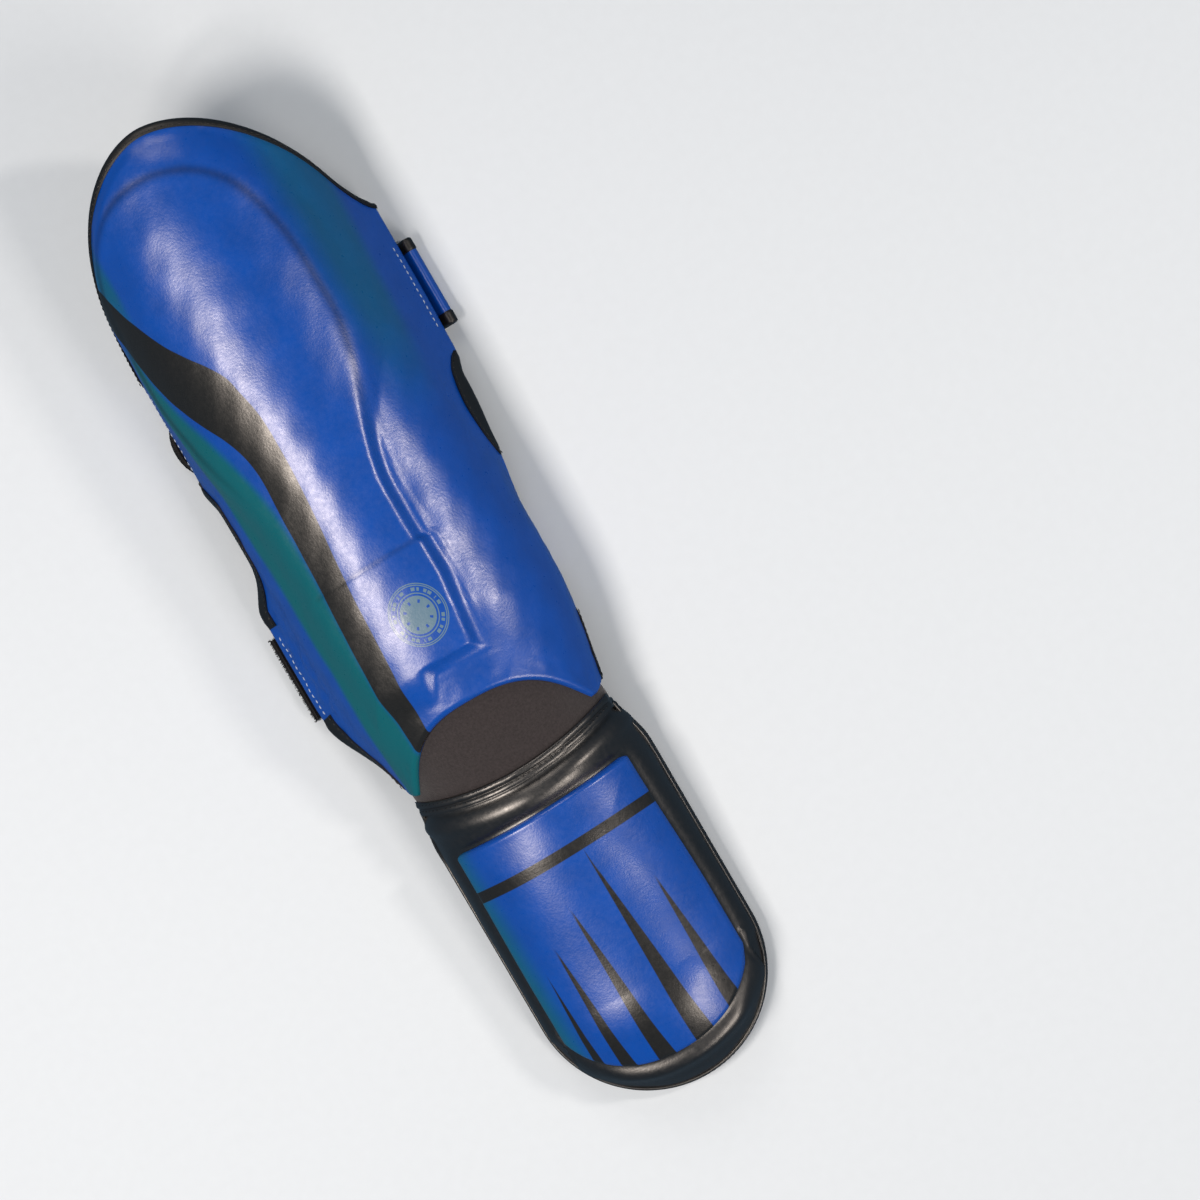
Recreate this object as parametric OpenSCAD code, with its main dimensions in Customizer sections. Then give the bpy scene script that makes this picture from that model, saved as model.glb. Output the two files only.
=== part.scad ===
// Shin and instep guard, lying on its straps with the padded front upwards.
// +X runs across the leg, +Y from the toe to the knee, and +Z out of the padded front.
// The origin is on the surface that the guard lies on, under the middle of its box. Millimetres.

/* [Overall] */
// Length from the knee edge to the toe edge, without the binding
guard_length = 539; // [535:1:545]
// Half the width of the shin shell round the calf
shin_half_width = 67; // [65:0.5:69]
// Height of the shin's front above the surface
shin_height = 80; // [76:1:84]
// Half the width of the instep shell
instep_half_width = 60.5; // [59:0.5:62]
// Height of the instep's front over the toes
instep_height = 42; // [38:1:46]

/* [Layers] */
// Thickness of the synthetic leather covers
cover_t = 1.2; // [0.8:0.1:1.6]
// Thickness of the shin's foam
shin_foam_t = 9; // [7:0.5:11]
// Thickness of the instep's foam
instep_foam_t = 8; // [6:0.5:10]
// Share of the foam's thickness that is left at its edges
edge_share = 0.45; // [0.4:0.05:0.6]
// Thickness of the linings
lining_t = 0.8; // [0.5:0.1:1.2]
// Rise of the raised shin pad
ridge_rise = 4; // [3:0.5:5]
// Rise of the raised instep panel
panel_rise = 4; // [3:0.5:5]
// Thickness of the stretch fabric over the ankle
ankle_panel_t = 3; // [2:0.5:4]

/* [Binding] */
// How far the binding laps over each face
binding_lap = 6; // [4:0.5:8]
// Thickness of the binding
binding_t = 0.8; // [0.6:0.1:1]

/* [Straps] */
// Width of a calf strap
strap_width = 48; // [44:1:50]
// Thickness of a strap
strap_t = 1.6; // [1.2:0.1:2]
// Distance of the upper strap from the middle of the guard
upper_strap_y = 143; // [139:1:147]
// Distance of the lower strap from the middle of the guard
lower_strap_y = 5; // [1:1:9]
// Width of an elastic under the foot
foot_strap_width = 38; // [30:1:42]

/* [Hidden] */

blue = "#0b57b4";
black = "#1d1b1b";
charcoal = "#3c3634";

// Where the outlines turn, along the guard.
knee_y = guard_length / 2;
toe_y = -guard_length / 2;
toe_len = 60;           // length of the rounded toe
toe_centre_y = toe_y + toe_len;
right_corner_y = 190;
left_corner_y = 172;
window_top_y = -46;
window_corner_y = -75;
window_corner_x = 51;
seam_y = -86;
seam_corner_y = -78;
spring_z = 20;          // height at which the shin's arch turns into its straight wings
wing_drop = 8;          // how far a wing goes below that height
left_notch_rise = 17;   // how far the notch between the wings cuts up
right_notch_rise = 4;
edge_angle = 86;        // where the instep's edge lies, as an angle from its top
binding_gap = 0.4;      // room between a binding and what it wraps
knee_binding_gap = 0.8; // the same round the curved knee edge
strap_gap = 1.8;        // room between a strap and the wing that it is sewn to
layer_gap = 0.5;        // room round a pad in its pocket
panel_gap = 0.3;        // room under the edge of the instep panel

// Facets of the two shells: along the guard and across it.
shin_rows = 34;
shin_cols = 24;
toe_rows = 8;
instep_rows = toe_rows + 14;
instep_cols = 18;

// ---------------------------------------------------------------- small helpers
function smooth(from, to, v) = let (k = min(1, max(0, (v - from) / (to - from)))) k * k * (3 - 2 * k);
function mix(a, b, k) = a + (b - a) * k;
function unit(v) = v / norm(v);
function quarter_arc(a, b) = PI / 2 * sqrt((a * a + b * b) / 2);
function steps(n) = [for (i = [0 : n]) i / n];

// Closed solid between two sheets of points. Rows run towards +Y and columns towards +X.
module slab(outer, inner) {
    rows = len(outer);
    cols = len(outer[0]);
    count = rows * cols;
    function o(i, j) = i * cols + j;
    function n(i, j) = count + i * cols + j;
    last_row = rows - 1;
    last_col = cols - 1;
    polyhedron(
        points = [for (row = outer) each row, for (row = inner) each row],
        faces = [
            for (i = [0 : rows - 2], j = [0 : cols - 2]) each [
                [o(i, j), o(i + 1, j), o(i + 1, j + 1)],
                [o(i, j), o(i + 1, j + 1), o(i, j + 1)],
                [n(i, j), n(i + 1, j + 1), n(i + 1, j)],
                [n(i, j), n(i, j + 1), n(i + 1, j + 1)]
            ],
            for (j = [0 : cols - 2]) each [
                [n(0, j), o(0, j), o(0, j + 1)],
                [n(0, j), o(0, j + 1), n(0, j + 1)],
                [n(last_row, j), o(last_row, j + 1), o(last_row, j)],
                [n(last_row, j), n(last_row, j + 1), o(last_row, j + 1)]
            ],
            for (i = [0 : rows - 2]) each [
                [n(i, 0), o(i + 1, 0), o(i, 0)],
                [n(i, 0), n(i + 1, 0), o(i + 1, 0)],
                [n(i, last_col), o(i, last_col), o(i + 1, last_col)],
                [n(i, last_col), o(i + 1, last_col), n(i + 1, last_col)]
            ]
        ]
    );
}

// A folded binding: a U with eight corners, carried along rings of points.
module channel(rings, flip = false) {
    count = len(rings[0]);
    last = (len(rings) - 1) * count;
    caps = [[0, 1, 6, 7], [1, 2, 5, 6], [2, 3, 4, 5]];
    sides = [
        for (k = [0 : len(rings) - 2], m = [0 : count - 1])
            let (a = k * count + m, b = k * count + (m + 1) % count)
            each [[a, b, b + count], [a, b + count, a + count]]
    ];
    ends = [
        for (c = caps) each [
            [c[0], c[2], c[1]], [c[0], c[3], c[2]],
            [last + c[0], last + c[1], last + c[2]], [last + c[0], last + c[2], last + c[3]]
        ]
    ];
    faces = concat(sides, ends);
    polyhedron(
        points = [for (ring = rings) each ring],
        faces = flip ? [for (f = faces) [f[2], f[1], f[0]]] : faces
    );
}

// The corners of a binding's U: [distance in from the edge, depth below the outer face].
function binding_profile(depth, gap = binding_gap) = [
    [binding_lap, -gap - binding_t],
    [-gap - binding_t, -gap - binding_t],
    [-gap - binding_t, depth + gap + binding_t],
    [binding_lap, depth + gap + binding_t],
    [binding_lap, depth + gap],
    [-gap, depth + gap],
    [-gap, -gap],
    [binding_lap, -gap]
];

// A band of even thickness along a path in the XZ plane, width wide along Y.
module band(path, thickness, y, width) {
    count = len(path);
    function along(i) = unit(path[min(count - 1, i + 1)] - path[max(0, i - 1)]);
    function side(i, k) = path[i] + [-along(i)[1], along(i)[0]] * thickness / 2 * k;
    translate([0, y + width / 2, 0])
        rotate([90, 0, 0])
            linear_extrude(width)
                polygon([
                    for (i = [0 : count - 1]) side(i, 1),
                    for (i = [count - 1 : -1 : 0]) side(i, -1)
                ]);
}

// ---------------------------------------------------------------- shin shape
// Half width and height of the shell's arch at a station along the guard.
function shin_a(y) = shin_half_width - 1.5 * (1 - smooth(70, 150, y)) - 10 * (1 - smooth(-85, -10, y));
function shin_top(y) = shin_height - 6 * (1 - smooth(-10, 210, y)) - 9 * (1 - smooth(-85, 0, y));
function shin_b(y) = shin_top(y) - spring_z;
function shin_quarter(y) = quarter_arc(shin_a(y), shin_b(y));

// The cut-out between the two wings, 0 to 1.
function notch(y) = smooth(41, 67, y) * (1 - smooth(93, 108, y));
// Length round the shell from its front line to its side edge.
function shin_reach(y, side) =
    shin_quarter(y)
    + wing_drop
    - (side > 0 ? right_notch_rise : left_notch_rise) * notch(y)
    - 6 * (1 - smooth(-78, -20, y));

flare_run = 26; // length of a wing that turns outwards
// How far a wing's edge stands out: the right one more at the knee, the left one more at the ankle.
function wing_flare(y, side) =
    (side > 0 ? 11 * smooth(15, 90, y) - 1.5 : 4 + 7 * (1 - smooth(30, 130, y))) * smooth(-75, -25, y);

// A point of the shell's section: t is the length round it from the front line.
function shin_section(y, t) =
    let (
        side = t < 0 ? -1 : 1,
        u = abs(t),
        quarter = shin_quarter(y),
        angle = min(u / quarter, 1) * 90,
        below = max(0, u - quarter),
        spread = wing_flare(y, side) * pow(max(0, u - quarter + flare_run - wing_drop) / flare_run, 2)
    )
    [side * (shin_a(y) * sin(angle) + spread), spring_z + shin_b(y) * cos(angle) - below];

// The same point, depth below the outer face.
function shin_point(y, t, depth) =
    let (
        p = shin_section(y, t),
        d = shin_section(y, t + 0.2) - shin_section(y, t - 0.2),
        n = unit([-d[1], d[0]])
    )
    [p[0] - n[0] * depth, y, p[1] - n[1] * depth];

// Outlines of the knee end and of the ankle end. q runs from -1 to 1 across the shell.
function knee_line(q) =
    let (corner = q > 0 ? right_corner_y : left_corner_y)
    corner + (knee_y - corner) * pow(1 - pow(abs(q), 1.8), q > 0 ? 1.3 : 1.15);
ankle_a = shin_a(window_corner_y);
ankle_turn = 92; // degrees round the arch for q from 0 to 1
function ankle_line(q) =
    window_top_y
    + (window_corner_y - window_top_y)
        * min(1, pow(ankle_a / window_corner_x * sin(min(90, abs(q) * ankle_turn)), 2.6))
    + 4 * smooth(0.75, 1, abs(q));

// The raised pad: its middle line, half its width, and its rise.
ridge_low_y = -22;
ridge_high_y = 246;
ridge_wall = 5;
function ridge_middle(y) = -10 - 4.5 * smooth(60, 175, y) + 3 * smooth(200, 246, y);
function ridge_half_width(y) =
    y > 168
        ? 50.5 * sqrt(max(0, 1 - pow((y - 168) / (ridge_high_y - 168), 2.6)))
        : 26 + 24.5 * smooth(58, 158, y) + 2 * (1 - smooth(25, 50, y)) * smooth(-25, 20, y);
function ridge(y, t) =
    ridge_rise
    * (1 - smooth(ridge_half_width(y), ridge_half_width(y) + ridge_wall, abs(t - ridge_middle(y))))
    * smooth(ridge_low_y - 4, ridge_low_y, y)
    * (1 - smooth(ridge_high_y - ridge_wall, ridge_high_y, y));

function thin_at_edge(across, along) =
    1 - (1 - edge_share)
        * max(smooth(0.75, 0.91, abs(across)), smooth(0.88, 0.97, along), smooth(0.92, 0.97, 1 - along));

// A sheet of the shell; top, foam and lining say which depths count at each point.
function shin_sheet(skin, foam, lining, relief) = [
    for (r = steps(shin_rows)) [
        for (s = steps(shin_cols))
            let (
                q = 2 * s - 1,
                y = mix(ankle_line(q), knee_line(q), r),
                t = q * shin_reach(y, q)
            )
            shin_point(
                y, t,
                skin * cover_t + foam * shin_foam_t * thin_at_edge(q, r) + lining * lining_t - relief * ridge(y, t)
            )
    ]
];

module shin_cover() {
    color(blue) slab(shin_sheet(0, 0, 0, 1), shin_sheet(1, 0, 0, 1));
}

module shin_foam() {
    color("#2b2b2e") slab(shin_sheet(1, 0, 0, 0), shin_sheet(1, 1, 0, 0));
}

module shin_lining() {
    color("#202022") slab(shin_sheet(1, 1, 0, 0), shin_sheet(1, 1, 1, 0));
}

// The second layer of foam lies in the pocket under the cover's raised part.
module shin_ridge_pad() {
    inset = 9;
    function sheet(depth) = [
        for (r = steps(26)) [
            for (c = steps(12))
                let (
                    y = mix(ridge_low_y + inset, ridge_high_y - 2 * inset, r),
                    t = ridge_middle(y) + (2 * c - 1) * (ridge_half_width(y) - inset)
                )
                shin_point(y, t, depth)
        ]
    ];
    color("#34343a") slab(sheet(cover_t - ridge_rise + layer_gap), sheet(cover_t - layer_gap));
}

// ---------------------------------------------------------------- shin bindings
shin_edge_depth = cover_t + shin_foam_t * edge_share + lining_t;

module knee_binding() {
    rings = [
        for (s = steps(shin_cols))
            let (q = 2 * s - 1)
            [
                for (c = binding_profile(shin_edge_depth, knee_binding_gap))
                    let (y = knee_line(q) - c[0])
                    shin_point(y, q * shin_reach(y, q), c[1])
            ]
    ];
    color(black) channel(rings);
}

// Along a wing's side edge, from one of the shell's rows of facets to another.
module shin_side_binding(side, from, to) {
    rings = [
        for (row = [from : to])
            let (y = mix(ankle_line(side), knee_line(side), row / shin_rows), reach = shin_reach(y, side))
            [for (c = binding_profile(shin_edge_depth)) shin_point(y, side * (reach - c[0]), c[1])]
    ];
    color(black) channel(rings, flip = side > 0);
}

module right_notch_binding() {
    shin_side_binding(1, 15, 23);
}

module left_notch_binding() {
    shin_side_binding(-1, 14, 26);
}

module right_ankle_binding() {
    shin_side_binding(1, 0, 6);
}

module left_ankle_binding() {
    shin_side_binding(-1, 0, 6);
}

// ---------------------------------------------------------------- instep shape
function instep_w(y) = instep_half_width - 4.5 * smooth(-108, -80, y);
function instep_edge_z(y) = 15 * smooth(-115, -78, y);
function instep_top(y) = instep_height + 16 * smooth(-230, -70, y);

// A point at an angle from the top line, seen from the middle line at y0. turn is 90 or -90 on the
// straight sides, and goes round the toe between them.
function instep_place(y0, turn, angle) = [
    instep_w(y0) * sin(angle) * sin(turn),
    y0 - toe_len * sin(angle) * cos(turn),
    instep_edge_z(y0) + (instep_top(y0) - instep_edge_z(y0)) * cos(angle)
];
function instep_normal(p) =
    let (
        y0 = max(p[1], toe_centre_y),
        w = instep_w(y0),
        h = instep_top(y0) - instep_edge_z(y0)
    )
    unit([p[0] / pow(w, 2), min(0, p[1] - toe_centre_y) / pow(toe_len, 2), (p[2] - instep_edge_z(y0)) / pow(h, 2)]);
function instep_point(y0, turn, angle, depth) =
    let (p = instep_place(y0, turn, angle)) p - instep_normal(p) * depth;

// The same surface read from a place in plan.
function instep_over(x, y, depth) =
    let (
        y0 = max(y, toe_centre_y),
        left = 1 - pow(x / instep_w(y0), 2) - pow(min(0, y - toe_centre_y) / toe_len, 2),
        p = [x, y, instep_edge_z(y0) + (instep_top(y0) - instep_edge_z(y0)) * sqrt(max(0, left))]
    )
    p - instep_normal(p) * depth;

// Upper edge of the tape that closes the ankle seam.
tape_width = 7.5;
function seam_line(x) = seam_y + (seam_corner_y - seam_y) * pow(abs(x) / window_corner_x, 2);

// The first rows of the shell go round the toe, and the others run up its straight sides.
function instep_sheet(skin, foam, lining) = [
    for (row = [0 : instep_rows]) [
        for (s = steps(instep_cols))
            let (
                u = 2 * s - 1,
                v = max(0, 1 - row / toe_rows),
                plan = [u * sqrt(1 - v * v / 2), v * sqrt(1 - u * u / 2)],
                edge = norm(plan),
                turn = v > 0 ? atan2(plan[0], plan[1]) : (u < 0 ? -90 : 90),
                y0 = v > 0 ? toe_centre_y : mix(toe_centre_y, instep_start(u), straight_share(row)),
                share = 1 - (1 - edge_share) * max(smooth(0.72, 0.88, edge), row == instep_rows ? 1 : 0)
            )
            instep_point(y0, turn, edge_angle * edge, skin * cover_t + foam * instep_foam_t * share + lining * lining_t)
    ]
];
function straight_share(row) = (row - toe_rows) / (instep_rows - toe_rows);
function instep_start(u) =
    seam_line(instep_half_width * sin(edge_angle * u)) - tape_width / 2 - 1.5 * smooth(0.8, 1, abs(u));

module instep_cover() {
    color(black) slab(instep_sheet(0, 0, 0), instep_sheet(1, 0, 0));
}

module instep_foam() {
    color("#2b2b2e") slab(instep_sheet(1, 0, 0), instep_sheet(1, 1, 0));
}

module instep_lining() {
    color("#202022") slab(instep_sheet(1, 1, 0), instep_sheet(1, 1, 1));
}

// The raised panel on the instep: round at the toe and straight at the ankle.
panel_top_y = -110;
function panel_half_width(y) = 48.5 + 2 * (1 - smooth(-190, -108, y));
function panel_end(x) = -206 - 42 * sqrt(max(0, 1 - pow(abs(x) / 52.5, 2.2)));
function panel_sheet(inset, middle, edge) = [
    for (r = steps(16)) [
        for (s = steps(14))
            let (
                u = 2 * s - 1,
                x0 = u * (48.5 - inset),
                y = mix(panel_end(x0) + inset, panel_top_y + 1.5 * u - inset, r),
                x = u * (panel_half_width(y) - inset),
                rise = (1 - smooth(0.9, 1, abs(u))) * smooth(0, 0.06, r) * smooth(0, 0.06, 1 - r)
            )
            instep_over(x, y, -mix(edge, middle, rise))
    ]
];

module instep_panel() {
    color(blue)
        slab(
            panel_sheet(0, panel_rise, cover_t + panel_gap),
            panel_sheet(0, panel_rise - cover_t, panel_gap)
        );
}

module instep_panel_foam() {
    inset = 10;
    color("#34343a")
        slab(
            panel_sheet(inset, panel_rise - cover_t - layer_gap, panel_rise - cover_t - layer_gap),
            panel_sheet(inset, layer_gap, layer_gap)
        );
}

// The binding runs down one side, round the toe and up the other side.
instep_edge_depth = cover_t + instep_foam_t * edge_share + lining_t;
function instep_side_path(side) = [
    for (row = [toe_rows : instep_rows - 1])
        [mix(toe_centre_y, instep_start(1), straight_share(row)), 90 * side]
];
function reversed(list) = [for (i = [len(list) - 1 : -1 : 0]) list[i]];

module instep_binding() {
    path = concat(
        reversed(instep_side_path(-1)),
        [for (turn = [-80 : 10 : 80]) [toe_centre_y, turn]],
        instep_side_path(1)
    );
    mm_per_degree = instep_height * PI / 180; // along the section, near its edge
    rings = [
        for (p = path) [
            for (c = binding_profile(instep_edge_depth))
                instep_point(p[0], p[1], edge_angle - c[0] / mm_per_degree, c[1])
        ]
    ];
    color(black) channel(rings, flip = true);
}

// ---------------------------------------------------------------- ankle
// Stretch fabric in the window between the two shells. Its upper edge is tucked under the shin.
module ankle_panel() {
    tuck = 3;
    seam_depth = 1.5;
    tucked_depth = shin_edge_depth + layer_gap;
    function sheet(depth) = [
        for (r = steps(8)) [
            for (s = steps(16))
                let (
                    x = window_corner_x * (2 * s - 1),
                    y = ankle_line(asin(x / ankle_a) / ankle_turn) + tuck,
                    t = asin(x / shin_a(y)) / 90 * shin_quarter(y)
                )
                mix(instep_over(x, seam_line(x) - tape_width / 6, seam_depth + depth),
                    shin_point(y, t, tucked_depth + depth), r)
        ]
    ];
    color(charcoal) slab(sheet(0), sheet(ankle_panel_t));
}

// Tape over the seam between the stretch fabric and the instep.
module ankle_seam_tape() {
    function sheet(depth) = [
        for (r = steps(3)) [
            for (s = steps(20))
                let (x = 52.5 * (2 * s - 1), y = seam_line(x) - tape_width * (1 - r))
                instep_over(x, y, depth)
        ]
    ];
    color(black) slab(sheet(-1.2), sheet(-0.2));
}

// One stitch: a short length of thread on a surface, along a direction.
module stitch(at, along, normal, length, width, height) {
    y_axis = unit(cross(normal, along));
    multmatrix([
        [along[0], y_axis[0], normal[0], at[0]],
        [along[1], y_axis[1], normal[1], at[1]],
        [along[2], y_axis[2], normal[2], at[2]],
        [0, 0, 0, 1]
    ])
        translate([-length / 2, -width / 2, 0]) cube([length, width, height]);
}

module ankle_seam_stitches() {
    color("#4a4644")
        for (inset = [1.5, tape_width - 1.5], k = [-11 : 11]) {
            x = 4.2 * k;
            p = instep_over(x, seam_line(x) - inset, -1.4);
            q = instep_over(x + 0.5, seam_line(x + 0.5) - inset, -1.4);
            along = unit(q - p);
            n = instep_normal(p);
            stitch(p, along, unit(n - along * (n * along)), 2.4, 0.5, 0.3);
        }
}

// ---------------------------------------------------------------- straps
// Thread that holds each strap and each tongue to its wing.
module strap_anchor_stitches() {
    color("#c9d6ea")
        for (centre = [upper_strap_y, lower_strap_y], side = [-1, 1], k = [-7 : 7]) {
            y = centre + 3.1 * k;
            t = side * (shin_reach(y, side) - 5);
            p = shin_point(y, t, -0.3);
            q = shin_point(y + 0.5, side * (shin_reach(y + 0.5, side) - 5), -0.3);
            n = unit(shin_point(y, t, -1) - shin_point(y, t, 0));
            along = unit(q - p);
            stitch(p, along, unit(n - along * (n * along)), 2, 0.6, 0.3);
        }
}

// A strap or a tongue starts inside a wing, goes round the wing's edge with a loose bulge, and
// comes back at the height low_z. Side by side with the wing it keeps strap_gap away.
function in_plane(p) = [abs(p[0]), p[2]];
function shell_depth(across) = cover_t + shin_foam_t * thin_at_edge(across, 0.5) + lining_t;
function curve(p0, p1, p2, p3, count) = [
    for (k = steps(count)) mix(mix(mix(p0, p1, k), mix(p1, p2, k), k), mix(mix(p1, p2, k), mix(p2, p3, k), k), k)
];
function hairpin(y, side, low_z, loose) =
    let (
        reach = shin_reach(y, side),
        clear = strap_gap + strap_t / 2,
        inside = [
            for (back = [18, 12, 6, 1])
                in_plane(shin_point(y, side * (reach - back), shell_depth(1 - back / reach) + clear))
        ],
        corner = in_plane(shin_point(y, side * (reach + clear), shin_edge_depth + 0.6 * clear)),
        rim = in_plane(shin_point(y, side * (reach + clear), 0)),
        out = unit(rim - corner),
        low = [rim[0] - 3, low_z]
    )
    concat(inside, [corner], curve(rim, rim + loose * out, low + [2 * loose, 0], low, 10));

hinge_x = 58;     // where the elastic starts and the strap swings
hinge_gap = 0.5;  // room there
tab_x = -18;      // where the hook tab starts
strap_end_x = -68;
tongue_end_x = -30;
edging_t = 1.6;
upper_loose = 4;  // how far each strap root bulges past its wing
lower_loose = 2.6;

function root_path(y, loose) = concat(hairpin(y, 1, strap_t / 2, loose), [[hinge_x + hinge_gap, strap_t / 2]]);

module strap_root(y, loose) {
    color(blue) band(root_path(y, loose), strap_t, y, strap_width - 2 * edging_t - 0.2);
}

// The bound edges of the blue part: one strip at each side of it.
module strap_edging(y, loose) {
    color(black)
        for (side = [-1, 1])
            band(root_path(y, loose), strap_t, y + side * (strap_width - edging_t) / 2, edging_t);
}

module strap_length(from, to, y) {
    translate([from, y - strap_width / 2 + 1, 0]) cube([to - from, strap_width - 2, strap_t]);
}

module strap_elastic(y) {
    color(charcoal) strap_length(tab_x, hinge_x, y);
}

module strap_hook_tab(y) {
    color(black) strap_length(strap_end_x, tab_x - hinge_gap, y);
}

// The tongue with the loop pile hangs from inside the left wing and lies on the hook tab.
module loop_tongue(y) {
    low_z = 1.5 * strap_t + 0.2;
    path = concat(hairpin(y, -1, low_z, 3.5), [[-tongue_end_x, low_z]]);
    color(charcoal) mirror([1, 0, 0]) band(path, strap_t, y, strap_width - 2);
}

module upper_strap_root() {
    strap_root(upper_strap_y, upper_loose);
}
module upper_strap_edging() {
    strap_edging(upper_strap_y, upper_loose);
}
module upper_strap_elastic() {
    strap_elastic(upper_strap_y);
}
module upper_strap_hook_tab() {
    strap_hook_tab(upper_strap_y);
}
module upper_loop_tongue() {
    loop_tongue(upper_strap_y);
}
module lower_strap_root() {
    strap_root(lower_strap_y, lower_loose);
}
module lower_strap_edging() {
    strap_edging(lower_strap_y, lower_loose);
}
module lower_strap_elastic() {
    strap_elastic(lower_strap_y);
}
module lower_strap_hook_tab() {
    strap_hook_tab(lower_strap_y);
}
module lower_loop_tongue() {
    loop_tongue(lower_strap_y);
}

// Elastic under the foot, sewn inside both edges of the instep.
module instep_strap(y) {
    half = [[42, 15], [48.5, 7], [49.5, 4], [48, 1.5], [45, strap_t / 2]];
    path = concat(half, reversed([for (p = half) [-p[0], p[1]]]));
    color(charcoal) band(path, strap_t, y, foot_strap_width);
}
module instep_strap_front() {
    instep_strap(-183);
}
module instep_strap_rear() {
    instep_strap(-130);
}

shin_cover();
shin_foam();
shin_ridge_pad();
shin_lining();
knee_binding();
right_notch_binding();
left_notch_binding();
right_ankle_binding();
left_ankle_binding();
strap_anchor_stitches();
ankle_panel();
ankle_seam_tape();
ankle_seam_stitches();
instep_cover();
instep_foam();
instep_lining();
instep_panel();
instep_panel_foam();
instep_binding();
instep_strap_front();
instep_strap_rear();
upper_strap_root();
upper_strap_edging();
upper_strap_elastic();
upper_strap_hook_tab();
upper_loop_tongue();
lower_strap_root();
lower_strap_edging();
lower_strap_elastic();
lower_strap_hook_tab();
lower_loop_tongue();
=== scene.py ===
"""A padded shin and instep guard of coated leather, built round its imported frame."""

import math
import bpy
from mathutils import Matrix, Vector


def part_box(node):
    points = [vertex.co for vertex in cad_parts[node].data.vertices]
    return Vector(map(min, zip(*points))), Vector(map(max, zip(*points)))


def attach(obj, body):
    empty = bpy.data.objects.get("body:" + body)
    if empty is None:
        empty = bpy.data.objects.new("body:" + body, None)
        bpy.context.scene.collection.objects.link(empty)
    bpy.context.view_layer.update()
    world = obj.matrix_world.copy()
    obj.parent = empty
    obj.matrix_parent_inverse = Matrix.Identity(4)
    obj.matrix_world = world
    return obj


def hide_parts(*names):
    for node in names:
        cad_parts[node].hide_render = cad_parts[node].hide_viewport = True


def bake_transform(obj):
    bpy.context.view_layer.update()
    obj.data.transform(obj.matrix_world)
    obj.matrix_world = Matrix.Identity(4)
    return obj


bl_info = {
    "name": "Shin and instep guard",
    "version": (1, 0, 0),
    "blender": (4, 5, 0),
    "location": "View3D > Sidebar > Guard",
    "description": "Builds a padded shin and instep guard with its straps and seams",
    "category": "Object",
}

import bpy
import numpy as np
from bpy.props import FloatProperty, FloatVectorProperty, PointerProperty
from mathutils import Matrix, Vector

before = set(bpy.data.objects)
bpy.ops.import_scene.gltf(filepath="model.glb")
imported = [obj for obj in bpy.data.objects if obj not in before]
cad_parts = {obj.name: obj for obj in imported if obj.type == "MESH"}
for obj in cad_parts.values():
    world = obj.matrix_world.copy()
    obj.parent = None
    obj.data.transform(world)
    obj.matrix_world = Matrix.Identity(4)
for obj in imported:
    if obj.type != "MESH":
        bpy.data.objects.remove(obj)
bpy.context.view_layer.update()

MM = 0.001  # metres in a millimetre


def low(node):
    """A CAD node's lowest corner, in millimetres."""
    return np.array(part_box(node)[0]) / MM


def high(node):
    """A CAD node's highest corner, in millimetres."""
    return np.array(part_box(node)[1]) / MM


# ------------------------------------------------------------ places taken from the frame, mm
KNEE_Y = high("shin_cover")[1]
TOE_Y = -KNEE_Y
STRAP_Y = {
    "upper": (low("upper_strap_elastic")[1] + high("upper_strap_elastic")[1]) / 2,
    "lower": (low("lower_strap_elastic")[1] + high("lower_strap_elastic")[1]) / 2,
}
FOOT_STRAP_Y = {
    "front": (low("instep_strap_front")[1] + high("instep_strap_front")[1]) / 2,
    "rear": (low("instep_strap_rear")[1] + high("instep_strap_rear")[1]) / 2,
}
FOOT_STRAP_WIDTH = high("instep_strap_front")[1] - low("instep_strap_front")[1]
HINGE_X = high("upper_strap_elastic")[0]
TAB_X = low("upper_strap_elastic")[0]
STRAP_END_X = low("upper_strap_hook_tab")[0]
TONGUE_END_X = -30.0
STRAP_T = high("upper_strap_elastic")[2] - low("upper_strap_elastic")[2]
STRAP_WIDTH = 48.0

# ------------------------------------------------------------ shape of the two shells, mm
SHIN_HALF_WIDTH = 67.0
SHIN_HEIGHT = 80.0
SPRING_Z = 20.0  # where the shin's arch turns into its straight wings
WING_DROP = 8.0
LEFT_NOTCH_RISE = 17.0  # how far the notch between the wings cuts up
RIGHT_NOTCH_RISE = 4.0
FLARE_RUN = 26.0
RIGHT_CORNER_Y = 190.0
LEFT_CORNER_Y = 172.0
WINDOW_TOP_Y = -46.0
WINDOW_CORNER_Y = -75.0
WINDOW_CORNER_X = 51.0
INSTEP_HALF_WIDTH = 60.5
INSTEP_HEIGHT = 42.0
TOE_LENGTH = 60.0
TOE_CENTRE_Y = TOE_Y + TOE_LENGTH
EDGE_ANGLE = 86.0
SEAM_Y = -86.0
SEAM_CORNER_Y = -78.0
TAPE_WIDTH = 7.5

COVER_T = 1.2
SHIN_FOAM_T = 9.0
INSTEP_FOAM_T = 8.0
LINING_T = 0.8
EDGE_SHARE = 0.45
SHIN_RIM = (COVER_T + SHIN_FOAM_T * EDGE_SHARE) / 2  # radius of the padded edge
INSTEP_RIM = (COVER_T + INSTEP_FOAM_T * EDGE_SHARE) / 2
SHIN_EDGE_DEPTH = 2 * SHIN_RIM + LINING_T
INSTEP_EDGE_DEPTH = 2 * INSTEP_RIM + LINING_T

PAD_LOW_Y = -22.0
PAD_WAIST_Y = 168.0  # above it the raised pad's outline is an oval
PAD_HIGH_Y = 246.0
PAD_HALF_WIDTH = 50.5
PANEL_TOP_Y = -110.0
PANEL_HALF_WIDTH = 48.5


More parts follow.
